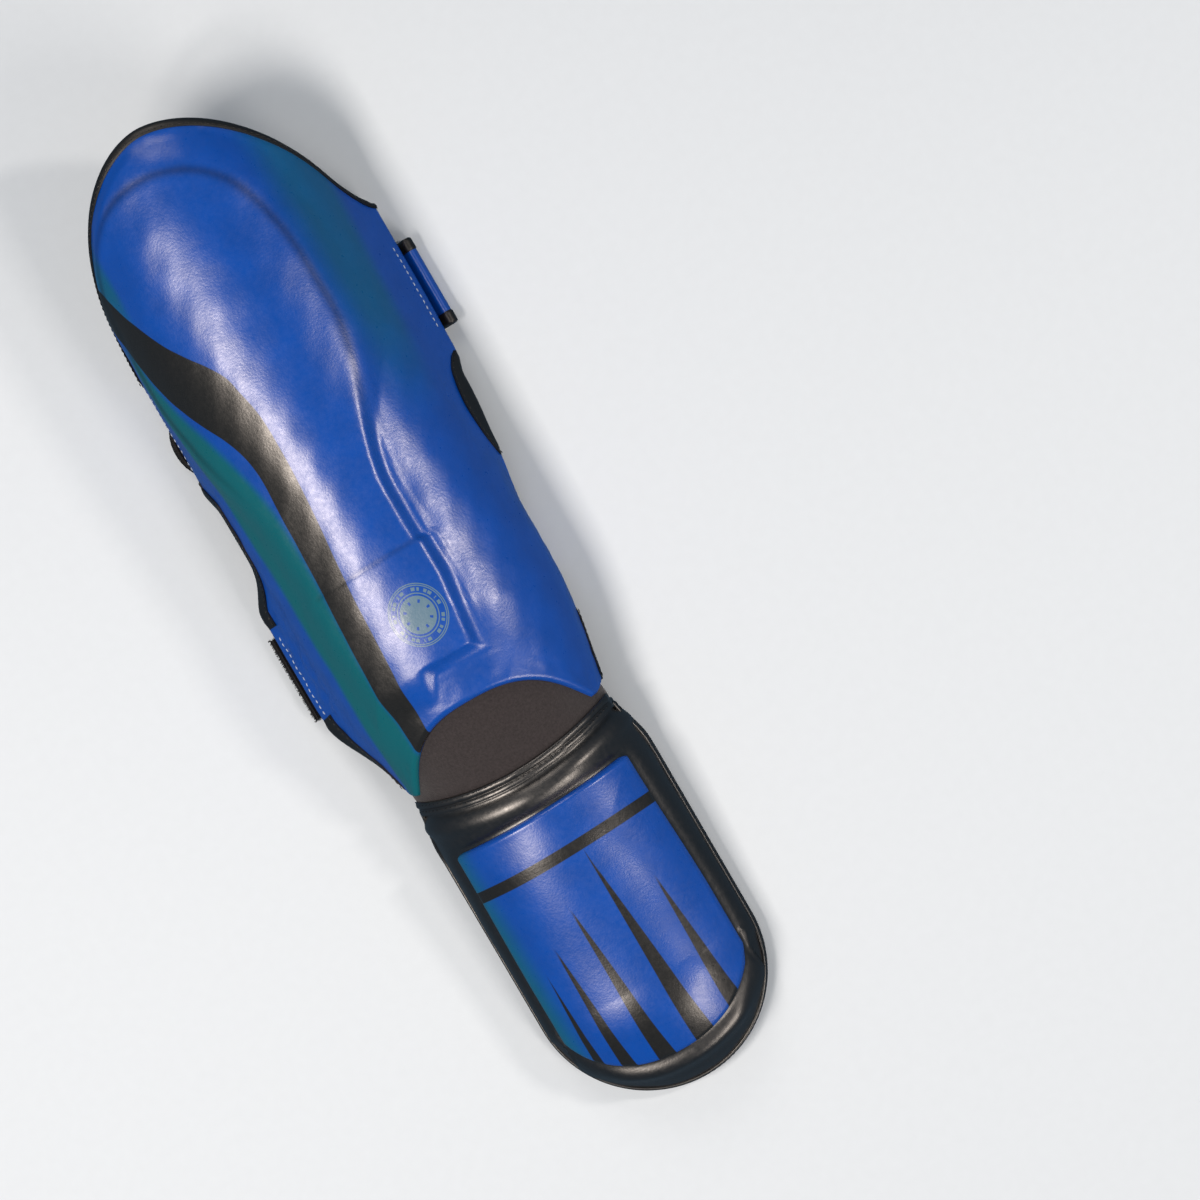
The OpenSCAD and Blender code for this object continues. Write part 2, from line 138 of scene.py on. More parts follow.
# ------------------------------------------------------------ settings
def linear(code):
    """Linear colour of an sRGB hex code."""
    parts = [int(code[k : k + 2], 16) / 255 for k in (1, 3, 5)]
    return tuple(c / 12.92 if c <= 0.04045 else ((c + 0.055) / 1.055) ** 2.4 for c in parts)


def size(name, description, millimetres):
    """A length property with its default in millimetres."""
    return FloatProperty(
        name=name,
        description=description,
        default=millimetres * MM,
        min=0,
        precision=5,
        subtype="DISTANCE",
        unit="LENGTH",
    )


def colour(name, description, code):
    """A colour property with its default as an sRGB hex code."""
    return FloatVectorProperty(
        name=name, description=description, default=linear(code), size=3, min=0, max=1, subtype="COLOR"
    )


class GuardSizes(bpy.types.PropertyGroup):
    """Sizes of the padding and the trim"""

    pad_rise: size("Pad rise", "How far the raised shin pad stands out", 4.0)
    panel_rise: size("Panel rise", "How far the raised instep panel stands out", 4.0)
    binding_t: size("Binding thickness", "Thickness of the binding tape", 0.9)
    knee_lap: size("Knee binding", "Width of the knee binding on the face", 3.8)
    side_lap: size("Side binding", "Width of the other bindings on the face", 6.4)
    stitch_pitch: size("Stitch pitch", "Distance from one stitch to the next", 3.2)
    emblem_radius: size("Emblem radius", "Outer radius of the round print", 15.5)


class GuardColours(bpy.types.PropertyGroup):
    """Colours of the leathers, fabrics and threads"""

    blue: colour("Blue leather", "Leather of the shin and of the instep panel", "#00429C")
    black: colour("Black leather", "Leather of the instep and of the bindings", "#0C0B0B")
    sweep: colour("Print", "The dark prints", "#181715")
    emblem: colour("Emblem", "The round print", "#6A8681")
    # painted reflection: this green stands for a green surround mirrored in the glossy flanks, not for the
    # leather's own colour
    painted_green_reflection: colour("Painted flank reflection", "Green reflection painted on the leather's flanks", "#005A60")
    fabric: colour("Stretch fabric", "Fabric in the ankle window", "#2C282A")
    webbing: colour("Webbing", "Elastics, linings and touch tapes", "#121112")
    pale_thread: colour("Pale thread", "Thread that holds the straps", "#A9B8CE")
    dark_thread: colour("Dark thread", "Thread of the seams", "#090808")


def millimetres(name):
    """One of the sizes above, in millimetres."""
    return getattr(bpy.context.scene.guard_sizes, name) / MM


# ------------------------------------------------------------ curves and waves
def smooth(start, end, value):
    """0 before start and 1 after end, with 3k^2 - 2k^3 between them."""
    k = np.clip((np.asarray(value, float) - start) / (end - start), 0, 1)
    return k * k * (3 - 2 * k)


def mix(a, b, k):
    """a at k = 0 and b at k = 1."""
    return a + (b - a) * k


def unit(v):
    """Each vector divided by its length."""
    return v / np.maximum(np.linalg.norm(v, axis=-1, keepdims=True), 1e-9)


def crowded(count):
    """Steps from 0 to 1 that crowd towards both ends: half of an even step and half of a cosine."""
    k = np.linspace(0, 1, count)
    return 0.3 * k + 0.7 * (1 - np.cos(np.pi * k)) / 2


def through(value, knots):
    """Smooth curve through (place, height) knots: cubic pieces whose slope at a knot joins its neighbours."""
    knots = np.array(sorted(knots), float)
    place, height = knots[:, 0], knots[:, 1]
    slope = np.gradient(height, place)
    v = np.clip(value, place[0], place[-1])
    i = np.clip(np.searchsorted(place, v) - 1, 0, len(place) - 2)
    span = place[i + 1] - place[i]
    k = (v - place[i]) / span
    return (
        height[i] * (1 + 2 * k) * (1 - k) ** 2
        + slope[i] * span * k * (1 - k) ** 2
        + height[i + 1] * k * k * (3 - 2 * k)
        + slope[i + 1] * span * k * k * (k - 1)
    )


def waves(x, y, length, seed):
    """Sum of seven plane waves in random directions, about length apart from crest to crest, from -1 to 1."""
    random = np.random.default_rng(seed)
    total = np.zeros(np.broadcast(x, y).shape)
    for heading, stretch, phase in zip(
        random.uniform(0, np.pi, 7), random.uniform(0.7, 1.5, 7), random.uniform(0, 6.3, 7)
    ):
        total += np.sin(2 * np.pi * (x * np.cos(heading) + y * np.sin(heading)) / (length * stretch) + phase)
    return total / 4


def bump_at(value, centre, spread):
    """A bell of height 1 round centre."""
    return np.exp(-(((value - centre) / spread) ** 2))


# ------------------------------------------------------------ the shin's shape
def shin_half_width(y):
    return SHIN_HALF_WIDTH - 1.5 * (1 - smooth(70, 150, y)) - 10 * (1 - smooth(-85, -10, y))


def shin_rise(y):
    """Height of the arch over its spring line."""
    return SHIN_HEIGHT - 6 * (1 - smooth(-10, 210, y)) - 9 * (1 - smooth(-85, 0, y)) - SPRING_Z


def shin_quarter(y):
    """Length round the arch from its front line to its spring line."""
    return np.pi / 2 * np.sqrt((shin_half_width(y) ** 2 + shin_rise(y) ** 2) / 2)


def shin_reach(y, side):
    """Length round the shell from its front line to its side edge, with the notch between the wings."""
    notch = smooth(41, 67, y) * (1 - smooth(93, 108, y))
    rise = np.where(np.asarray(side) > 0, RIGHT_NOTCH_RISE, LEFT_NOTCH_RISE)
    return shin_quarter(y) + WING_DROP - rise * notch - 6 * (1 - smooth(-78, -20, y))


def wing_flare(y, side):
    """How far a wing's edge stands out."""
    right = 11 * smooth(15, 90, y) - 1.5
    left = 4 + 9 * (1 - smooth(30, 130, y))
    return np.where(side > 0, right, left) * smooth(-75, -25, y)


def shin_section(y, t):
    """X and Z of a point: an arch for the first quarter, then a straight wing that flares with its run squared."""
    side, u = np.where(t < 0, -1.0, 1.0), np.abs(t)
    quarter = shin_quarter(y)
    angle = np.minimum(u / quarter, 1) * np.pi / 2
    spread = wing_flare(y, side) * (np.maximum(0, u - quarter + FLARE_RUN - WING_DROP) / FLARE_RUN) ** 2
    x = side * (shin_half_width(y) * np.sin(angle) + spread)
    return x, SPRING_Z + shin_rise(y) * np.cos(angle) - np.maximum(0, u - quarter)


def shin_surface(y, t, depth):
    """Point of the shin at length t round the section, depth below its outer face."""
    y, t, depth = np.broadcast_arrays(np.asarray(y, float), np.asarray(t, float), np.asarray(depth, float))
    x, z = shin_section(y, t)
    ahead, behind = shin_section(y, t + 0.2), shin_section(y, t - 0.2)
    normal = unit(np.stack([behind[1] - ahead[1], ahead[0] - behind[0]], -1))
    return np.stack([x - normal[..., 0] * depth, y, z - normal[..., 1] * depth], -1)


def knee_line(q):
    """Knee edge: q is -1 at the left wing and 1 at the right one."""
    right = RIGHT_CORNER_Y + (KNEE_Y - RIGHT_CORNER_Y) * np.maximum(0, 1 - np.abs(q) ** 1.8) ** 1.3
    left = LEFT_CORNER_Y + (KNEE_Y - LEFT_CORNER_Y) * np.maximum(0, 1 - np.abs(q) ** 1.8) ** 1.15
    return np.where(q < 0, left, right)


def ankle_line(q):
    """Ankle edge, cut up into a round window."""
    across = (
        shin_half_width(WINDOW_CORNER_Y) / WINDOW_CORNER_X
        * np.sin(np.radians(np.minimum(90, np.abs(q) * 92)))
    )
    drop = np.minimum(1, across**2.6)
    return WINDOW_TOP_Y + (WINDOW_CORNER_Y - WINDOW_TOP_Y) * drop + 4 * smooth(0.75, 1, np.abs(q))


def shin_edge_distance(y, t):
    """Distance in from the nearest edge of the shin shell, measured square to the edge."""
    reach = shin_reach(y, t)
    q = np.clip(t / reach, -1, 1)
    slope = 0.01
    knee_slope = (
        knee_line(np.minimum(q + slope, 1)) - knee_line(np.maximum(q - slope, -1))
    ) / (2 * slope * reach)
    ankle_slope = (
        ankle_line(np.minimum(q + slope, 1)) - ankle_line(np.maximum(q - slope, -1))
    ) / (2 * slope * reach)
    knee = (knee_line(q) - y) / np.sqrt(1 + knee_slope**2)
    ankle = (y - ankle_line(q)) / np.sqrt(1 + ankle_slope**2)
    return np.maximum(0, np.minimum(np.minimum(reach - np.abs(t), knee), ankle))


def pad_middle(y):
    return -10 - 4.5 * smooth(60, 175, y) + 3 * smooth(200, 246, y)


def pad_distance(y, t):
    """Distance inside the raised pad's outline: straight walls below its waist and an oval above it."""
    half = (
        26 + (PAD_HALF_WIDTH - 26) * smooth(58, 158, y) + 2.4 * (1 - smooth(32.5, 35.5, y)) - 4.5
        * (1 - smooth(-32, 20, y))
    )
    slope = (PAD_HALF_WIDTH - 26) * (smooth(58, 158, y + 1) - smooth(58, 158, y - 1)) / 2
    across = np.abs(t - pad_middle(y))
    sides = np.minimum((half - across) / np.sqrt(1 + slope**2), y - PAD_LOW_Y)
    up = np.maximum(0, y - PAD_WAIST_Y) / (PAD_HIGH_Y - PAD_WAIST_Y)
    level = np.sqrt((across / PAD_HALF_WIDTH) ** 2 + up**2.6)
    steep = np.sqrt((across / PAD_HALF_WIDTH**2) ** 2 + (1.3 * up**1.6 / (PAD_HIGH_Y - PAD_WAIST_Y)) ** 2)
    oval = (1 - level) * level / np.maximum(steep, 1e-4)
    return np.where(y > PAD_WAIST_Y, oval, sides)


def shin_relief(y, t):
    """Height of the padded face over the plain shell: the raised pad, the rolls beside it and the creases."""
    inside = pad_distance(y, t)
    knee = smooth(80, 135, y)  # the steep wall fades into a long slope with a groove
    crisp = (1 - knee) * smooth(-4, 4, t - pad_middle(y))
    wall = mix(mix(20, 26, knee), 6.5, crisp)
    k = np.clip((inside + wall - 0.8) / wall, 0, 1)
    raised = millimetres("pad_rise") * mix(k * k * (3 - 2 * k), k**1.7 * (1.15 - 0.15 * k), crisp)
    groove = -0.3 * bump_at(inside, -1.5, 3.0) * knee
    fold = 0.5 * bump_at(inside, -7.4, 1.5) * crisp * (0.6 + 0.6 * waves(0 * t, y, 30, 4))
    crease = -0.3 * bump_at(y, 34 + 0.02 * t, 1.0) * smooth(-1, 4, inside)
    crown = 0.9 * smooth(4, 26, inside) * smooth(-15, 40, y)
    sag = 0.32 * waves(t, y, 46, 3) + 0.1 * waves(t, y, 17, 5)
    edge = shin_edge_distance(y, t)
    pucker = 0.16 * waves(t, y, 9, 7) * (1 - smooth(4, 15, edge))
    lobe = 1.0 * waves(t * 1.3, y, 15, 9) * smooth(-76, -88, t) * bump_at(y, 4, 30)
    return (
        (raised + groove + fold + crease + crown) * smooth(1, 10, edge) + (sag + pucker + lobe)
        * smooth(0, 6, edge)
    )


def shin_painted_shade(y, t):
    """How much painted shade the leather gets, 0 to 1: it is drawn darker in the groove round the pad and in the
    crease across it, where less light falls.
    """
    inside = pad_distance(y, t)
    groove = bump_at(inside, -1.5, 2.2) * smooth(80, 135, y) * smooth(4, 14, shin_edge_distance(y, t))
    return 0.8 * groove + 0.45 * bump_at(y, 34 + 0.02 * t, 1.2) * smooth(-1, 3, inside)


def rim_drop(edge, radius):
    """How far a face falls near a padded edge: a quarter circle of that radius."""
    k = np.clip(1 - edge / radius, 0, 1)
    return radius * (1 - np.sqrt(np.maximum(0, 1 - k * k)))


def shin_padding(y, t):
    """Thickness of the cover and its foam, thinner towards the edges."""
    q = t / shin_reach(y, t)
    k = (y - ankle_line(q)) / (knee_line(q) - ankle_line(q))
    near = np.maximum(
        smooth(0.75, 0.91, np.abs(q)), np.maximum(smooth(0.88, 0.97, k), smooth(0.92, 0.97, 1 - k))
    )
    return COVER_T + SHIN_FOAM_T * (1 - (1 - EDGE_SHARE) * near)


def shin_sheet(rows, columns, inset):
    """Y and t over the whole shin shell, inset from its edges."""
    q = (2 * crowded(columns) - 1)[None, :]
    k = crowded(rows)[:, None]
    y = mix(ankle_line(q) + inset, knee_line(q) - inset, k)
    return y, q * (shin_reach(y, q) - inset)


# ------------------------------------------------------------ the instep's shape
def instep_half_width(y):
    return INSTEP_HALF_WIDTH - 4.5 * smooth(-108, -80, y)


def instep_edge_z(y):
    return 15 * smooth(-115, -78, y)


def instep_rise(y):
    """Height of the instep's top line over its edge."""
    return INSTEP_HEIGHT + 16 * smooth(-230, -70, y) - instep_edge_z(y)


def instep_normal(p):
    """Outward direction of the instep at points on it: the gradient of its ellipsoid."""
    y = np.maximum(p[..., 1], TOE_CENTRE_Y)
    return unit(
        np.stack(
            [
                p[..., 0] / instep_half_width(y) ** 2,
                np.minimum(0, p[..., 1] - TOE_CENTRE_Y) / TOE_LENGTH**2,
                (p[..., 2] - instep_edge_z(y)) / instep_rise(y) ** 2,
            ],
            -1,
        )
    )


def instep_surface(y, turn, angle, depth):
    """Point at an angle from the top line; turn is 90 or -90 on the sides and goes round the toe between."""
    y, turn, angle, depth = np.broadcast_arrays(*(np.asarray(v, float) for v in (y, turn, angle, depth)))
    lean, round_toe = np.radians(angle), np.radians(turn)
    p = np.stack(
        [
            instep_half_width(y) * np.sin(lean) * np.sin(round_toe),
            y - TOE_LENGTH * np.sin(lean) * np.cos(round_toe),
            instep_edge_z(y) + instep_rise(y) * np.cos(lean),
        ],
        -1,
    )
    return p - instep_normal(p) * depth[..., None]


def instep_over(x, y, depth):
    """The same surface read from a place in plan."""
    x, y, depth = np.broadcast_arrays(*(np.asarray(v, float) for v in (x, y, depth)))
    straight = np.maximum(y, TOE_CENTRE_Y)
    left = 1 - (x / instep_half_width(straight)) ** 2 - (np.minimum(0, y - TOE_CENTRE_Y) / TOE_LENGTH) ** 2
    p = np.stack([x, y, instep_edge_z(straight) + instep_rise(straight) * np.sqrt(np.maximum(0, left))], -1)
    return p - instep_normal(p) * depth[..., None]


def seam_line(x):
    """Upper edge of the tape over the ankle seam."""
    return SEAM_Y + (SEAM_CORNER_Y - SEAM_Y) * (np.abs(x) / WINDOW_CORNER_X) ** 2


def instep_start(u):
    """Ankle edge of the instep shell, under the tape."""
    across = INSTEP_HALF_WIDTH * np.sin(np.radians(EDGE_ANGLE * u))
    return seam_line(across) - TAPE_WIDTH / 2 - 1.5 * smooth(0.8, 1, np.abs(u))


def panel_half_width(y):
    return PANEL_HALF_WIDTH + 2 * (1 - smooth(-190, -108, y))


def panel_end(x):
    """Round toe end of the instep panel."""
    return -206 - 42 * np.sqrt(np.maximum(0, 1 - (np.abs(x) / 52.5) ** 2.2))


def panel_distance(x, y):
    """Distance inside the instep panel's outline, with corners rounded at its ankle end."""
    side = panel_half_width(y) - np.abs(x)
    top = PANEL_TOP_Y + 1.5 * x / PANEL_HALF_WIDTH + 1.4 * (x / PANEL_HALF_WIDTH) ** 2 - y
    corner = 2.6
    inner = np.minimum(np.maximum(corner - side, 0) ** 2 + np.maximum(corner - top, 0) ** 2, 1e6)
    squared = np.where((side < corner) & (top < corner), corner - np.sqrt(inner), np.minimum(side, top))
    steep = (panel_end(x + 0.5) - panel_end(x - 0.5)).clip(-4, 4)
    toe = (y - panel_end(np.clip(x, -52.4, 52.4))) / np.sqrt(1 + steep**2)
    return np.minimum(squared, np.where(y < -206, toe, 1e3))


def instep_relief(x, y):
    """Height of the instep's face over the plain shell: the ankle's roll, and the border round the panel."""
    inside = panel_distance(x, y)
    start = seam_line(x)
    roll = 2.0 * bump_at(y, start - 16.5, 5.0) - 1.1 * bump_at(y, start - 8.5, 2.6)
    trench = -0.9 * bump_at(inside, -1.2, 2.0)
    bead = 0.9 + 1.9 * smooth(-212, -240, y) * (1 - smooth(30, 46, np.abs(x)))
    border = bead * bump_at(inside, -6.5, 4.0) * (1 - smooth(-118, -104, y))
    return roll + trench + border + 0.22 * waves(x, y, 30, 11)


# ------------------------------------------------------------ meshes
def quads(index):
    """Faces of a grid of vertex numbers."""
    return np.stack([index[:-1, :-1], index[:-1, 1:], index[1:, 1:], index[1:, :-1]], -1).reshape(-1, 4)


def pillow(outer, inner):
    """Closed body between two grids that share their rim, and a function that carries numbers along."""
    rows, columns = outer.shape[:2]
    front = np.arange(rows * columns).reshape(rows, columns)
    back = front.copy()
    back[1:-1, 1:-1] = rows * columns + np.arange((rows - 2) * (columns - 2)).reshape(rows - 2, columns - 2)

    def carry(on_outer, on_inner=None):
        on_inner = on_outer if on_inner is None else on_inner
        width = on_outer.shape[2:]
        return np.concatenate([on_outer.reshape(-1, *width), on_inner[1:-1, 1:-1].reshape(-1, *width)])

    return carry(outer, inner), [quads(front), quads(back)[:, ::-1]], carry


def tube(rings):
    """Closed body through rings of points, capped at both ends."""
    count, around = rings.shape[:2]
    index = np.arange(count * around).reshape(count, around)
    wrapped = np.concatenate([index, index[:, :1]], 1)
    return rings.reshape(-1, 3), [quads(wrapped), index[:1, ::-1], index[-1:]]


def joined(parts):
    """Several bodies as one."""
    points, faces, start = [], [], 0
    for part_points, part_faces in parts:
        points.append(part_points)
        faces += [f + start for f in part_faces]
        start += len(part_points)
    return np.concatenate(points), faces


def repeat(points, faces, origins, frames):
    """Copies of a small body: a point (a, b, c) goes to origin + a * along + b * across + c * up."""
    placed = origins[:, None, :] + np.einsum("ki,nij->nkj", points, frames)
    start = np.arange(len(origins))[:, None, None] * len(points)
    return placed.reshape(-1, 3), [(f[None] + start).reshape(-1, f.shape[1]) for f in faces]


def outward(points, faces):
    """The faces turned so that the closed body's volume is positive."""
    volume = 0.0
    for f in faces:
        for k in range(1, f.shape[1] - 1):
            a, b, c = points[f[:, 0]], points[f[:, k]], points[f[:, k + 1]]
            volume += np.einsum("ij,ij->", a, np.cross(b, c))
    return faces if volume > 0 else [f[:, ::-1] for f in faces]


def new_piece(name, body, points, faces, material, fields=None, sharp=None):
    """A mesh object from points in millimetres. Fields are numbers or vectors at the points."""
    faces = outward(points, faces)
    corners = np.concatenate([f.ravel() for f in faces])
    sizes = np.concatenate([np.full(len(f), f.shape[1]) for f in faces])
    mesh = bpy.data.meshes.new(name)
    mesh.vertices.add(len(points))
    mesh.vertices.foreach_set("co", (points * MM).astype(np.float32).ravel())
    mesh.loops.add(len(corners))
    mesh.loops.foreach_set("vertex_index", corners.astype(np.int32))
    mesh.polygons.add(len(sizes))
    mesh.polygons.foreach_set("loop_start", (np.cumsum(sizes) - sizes).astype(np.int32))
    mesh.update(calc_edges=True)
    for field, values in (fields or {}).items():
        kind, part = ("FLOAT", "value") if values.ndim == 1 else ("FLOAT_VECTOR", "vector")
        mesh.attributes.new(field, kind, "POINT").data.foreach_set(part, values.astype(np.float32).ravel())
    mesh.validate()
    mesh.shade_smooth()
    if sharp:
        mesh.set_sharp_from_angle(angle=math.radians(sharp))
    mesh.materials.append(material)
    piece = bpy.data.objects.new(name, mesh)
    bpy.context.scene.collection.objects.link(piece)
    if body:
        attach(piece, body)
    return piece


def along(points):
    """Unit direction of a path at each of its points."""
    return unit(np.gradient(points, axis=0))


def spaced(path, above, pitch):
    """Even places along a path, each with a frame of its direction, the way across and the way up."""
    run = np.concatenate([[0], np.cumsum(np.linalg.norm(np.diff(path, axis=0), axis=1))])
    count = max(1, int(run[-1] / pitch))
    at = (np.arange(count) + 0.5) * run[-1] / count

    def read(line, where):
        return np.stack([np.interp(where, run, line[:, k]) for k in range(3)], 1)

    place = read(path, at)
    forward = unit(read(path, at + 0.3) - read(path, at - 0.3))
    up = read(above, at) - place
    up = unit(up - forward * np.sum(up * forward, 1, keepdims=True))
    return place, np.stack([forward, np.cross(up, forward), up], 1)


def thread_shape(length, width, height):
    """One stitch: an ellipse carried along a half turn, thick in the middle and low at its ends."""
    lean = np.radians([-90, -62, -30, 0, 30, 62, 90])
    turn = np.linspace(0, 2 * np.pi, 6, endpoint=False)
    swell = np.maximum(np.cos(lean), 0.12)[:, None]
    rings = np.stack(
        [
            np.repeat(np.sin(lean)[:, None] * length / 2, len(turn), 1),
            np.cos(turn)[None] * width / 2 * swell,
            np.sin(turn)[None] * height / 2 * swell + height * 0.25 * (swell - 1),
        ],
        -1,
    )
    return tube(rings)


def sewn(path, above, pitch, length=2.3, width=0.6, height=0.55):
    """A row of stitches along a path."""
    places, frames = spaced(path, above, pitch)
    return repeat(*thread_shape(length, width, height), places, frames)


def bound_edge(surface, path, lap, radius, depth, thickness):
    """A folded tape carried along an edge. The path holds the edge's places and the way in from it.

    Its section runs in from the edge by lap on both faces, and round the edge in a half circle.
    """
    places, inwards = path
    arc = np.linspace(-np.pi / 2, np.pi / 2, 11)
    middle = depth / 2

    lap = np.broadcast_to(lap, len(places))[:, None]

    def skin(gap):
        share = np.array([1, 0.75, 0.5, 0.25])
        flat = middle + (lap - middle) * share
        bend = np.broadcast_to(middle - (middle + gap) * np.cos(arc), (len(lap), len(arc)))
        down = np.concatenate(
            [np.full(4, -gap), middle + (middle + gap) * np.sin(arc), np.full(4, depth + gap)]
        )
        return np.concatenate([flat, bend, flat[:, ::-1]], 1), np.broadcast_to(down, (len(lap), len(down)))

    run = np.concatenate([[0], np.cumsum(np.linalg.norm(np.diff(places, axis=0), axis=1))])
    body = mix(0.25, 1.0, smooth(0, 5, np.minimum(run, run[-1] - run)))[:, None]
    (outer_in, outer_down), (inner_in, inner_down) = skin(thickness), skin(0.05)
    across = np.concatenate([mix(inner_in, outer_in, body), inner_in[:, ::-1]], 1)
    down = np.concatenate([mix(inner_down, outer_down, body), inner_down[:, ::-1]], 1)
    first = places[:, None, 0] + inwards[:, None, 0] * across
    second = places[:, None, 1] + inwards[:, None, 1] * across
    return tube(surface(first, second, down))


def edge_line(surface, path, inset, depth):
    """Points along an edge, inset from it and depth below the face."""
    places, inwards = path
    way = inwards * np.broadcast_to(inset, len(places))[:, None]
    return surface(places[:, 0] + way[:, 0], places[:, 1] + way[:, 1], depth)


def cord_along(centre, radius, sides=8):
    """A round cord of one radius carried along a path, upright to its direction."""
    forward = along(centre)
    across = unit(np.cross(forward, np.array([0.0, 0.0, 1.0])))
    up = np.cross(across, forward)
    turn = np.linspace(0, 2 * np.pi, sides, endpoint=False)
    ring = across[:, None] * np.cos(turn)[None, :, None] + up[:, None] * np.sin(turn)[None, :, None]
    return tube(centre[:, None] + ring * radius)


# ------------------------------------------------------------ edges of the shin
def shin_at(t, y, depth):
    """The shin's surface from its length round and its place along."""
    return shin_surface(y, t, depth)


def edge_path(t, y, inside):
    """An edge as places (t, y), with the unit way in from it. Inside is a point within the shell."""
    places = np.stack([t, y], 1)
    forward = along(places)
    square = np.stack([-forward[:, 1], forward[:, 0]], 1)
    towards = np.sign(np.sum(square * (np.array(inside) - places), 1, keepdims=True))
    return places, square * towards


def knee_edge():
    """The knee edge, from a little way down the left wing to the right wing's corner."""
    q = 2 * crowded(220) - 1
    y = knee_line(q)
    return edge_path(q * shin_reach(y, q), y, (0, 120))


def side_edge(side, low_y, high_y):
    """A stretch of a side edge."""
    y = np.linspace(low_y, high_y, 90)
    return edge_path(side * shin_reach(y, side), y, (0, (low_y + high_y) / 2))


# ------------------------------------------------------------ prints, as distances inside their outlines
def triangle_distance(x, y, corners):
    """Distance inside a triangle whose corners run anticlockwise: the least of those to its three sides."""
    sides = []
    for (ax, ay), (bx, by) in zip(corners, corners[1:] + corners[:1]):
        length = math.hypot(bx - ax, by - ay)
        sides.append(((bx - ax) * (y - ay) - (by - ay) * (x - ax)) / length)
    return np.minimum(np.minimum(sides[0], sides[1]), sides[2])


def sweep_distance(y, t):
    """Distance inside the dark sweep, between its two edges."""
    right = [
        (-60, -25),
        (-20, -22),
        (33, -19),
        (81, -15),
        (105, -14),
        (124, -14.5),
        (137, -17),
        (146, -19),
        (155, -24)
    ]
    right += [(163, -30), (174, -38), (189, -47), (199, -53), (216, -61), (226, -66)]
    left = [
        (-60, -36),
        (-20, -35),
        (30, -32.5),
        (60, -31),
        (81, -30.5),
        (101, -30),
        (113, -32.5),
        (123, -37),
        (134, -44)
    ]
    left += [(151, -54), (173, -62.5), (191, -69), (206, -78), (226, -92)]
    right_slope = (through(y + 1, right) - through(y - 1, right)) / 2
    left_slope = (through(y + 1, left) - through(y - 1, left)) / 2
    return np.minimum(
        (through(y, right) - t) / np.sqrt(1 + right_slope**2),
        (t - through(y, left)) / np.sqrt(1 + left_slope**2),
    )


def stripe_distance(x, y):
    """Distance inside the bar across the instep panel."""
    middle = -134.2 + 2.0 * smooth(-30, 50, x)
    return 3.0 - np.abs(y - middle)


def tapers_distance(x, y):
    """Distance inside the five long tapers that rise from the panel's toe end."""
    tapers = [
        ((-37.5, -184), (-41, -250), (-35.5, -250)),
        ((-27, -168), (-29.5, -255), (-21.5, -255)),
        ((-10.5, -153), (-12, -258), (-2, -258)),
        ((9.5, -136), (8, -257), (19.5, -257)),
        ((30.5, -161.5), (29, -250), (38, -250)),
    ]
    return np.max([triangle_distance(x, y, list(corners)) for corners in tapers], 0)


def painted_flank_reflection(y, t):
    """How much green reflection is painted on the leather's flanks, from 0 to 1: a painted reflection of a green
    surround in the glossy coat, not the leather's own colour.
    """
    front = [
        (-60, -36),
        (-39, -35),
        (-15, -34),
        (30, -32),
        (82, -33),
        (96, -36),
        (111, -40),
        (125, -45),
        (140, -52),
        (170, -62)
    ]
    back = [
        (-60, -66),
        (-39, -61),
        (-15, -59),
        (34, -61),
        (58, -62),
        (83, -65),
        (107, -65),
        (147, -70),
        (190, -72)
    ]
    left = (
        smooth(2.5, -3, t - through(y, front)) * smooth(-2.5, 3, t - through(y, back))
        * (1 - smooth(172, 192, y))
    )
    spill = smooth(-46, -52, t) * (1 - smooth(-58, -66, t)) * bump_at(y, 213, 22)
    right = smooth(34, 56, t) * smooth(75, 150, y) * (1 - smooth(70, 84, t - 0.12 * (y - 150)))
    return left + 0.7 * spill + 0.55 * right


# ------------------------------------------------------------ materials
def add(tree, kind, settings):
    """Adds one shader node. A setting is a property's name, or an input's; a socket is linked."""
    new = tree.nodes.new("ShaderNode" + kind)
    for key, value in settings.items():
        if isinstance(key, str) and hasattr(new, key):
            setattr(new, key, value)
        elif isinstance(value, bpy.types.NodeSocket):
            tree.links.new(value, new.inputs[key])
        else:
            new.inputs[key].default_value = value
    return new


def per_metre(pattern_mm):
    """Scale of a pattern on coordinates in metres whose features are that many millimetres apart."""
    return 1 / (pattern_mm * MM)


def begin(name):
    """An empty material and its node tree."""
    material = bpy.data.materials.new(name)
    material.use_nodes = True
    material.node_tree.nodes.clear()
    return material, material.node_tree


def rgba(rgb):
    return (*rgb, 1.0)


def finish_material(tree, surface):
    """Links a shader to the output. Surface holds the shader's settings."""
    shader = add(tree, "BsdfPrincipled", surface)
    add(tree, "OutputMaterial", {"Surface": shader.outputs["BSDF"]})


def above_zero(tree, field, blur):
    """1 where a distance field is over zero and 0 where it is under, with an edge blur millimetres wide."""
    value = add(tree, "Attribute", {"attribute_name": field}).outputs["Fac"]
    step = add(tree, "MapRange", {"Value": value, "From Min": -blur / 2, "From Max": blur / 2})
    return step.outputs["Result"]


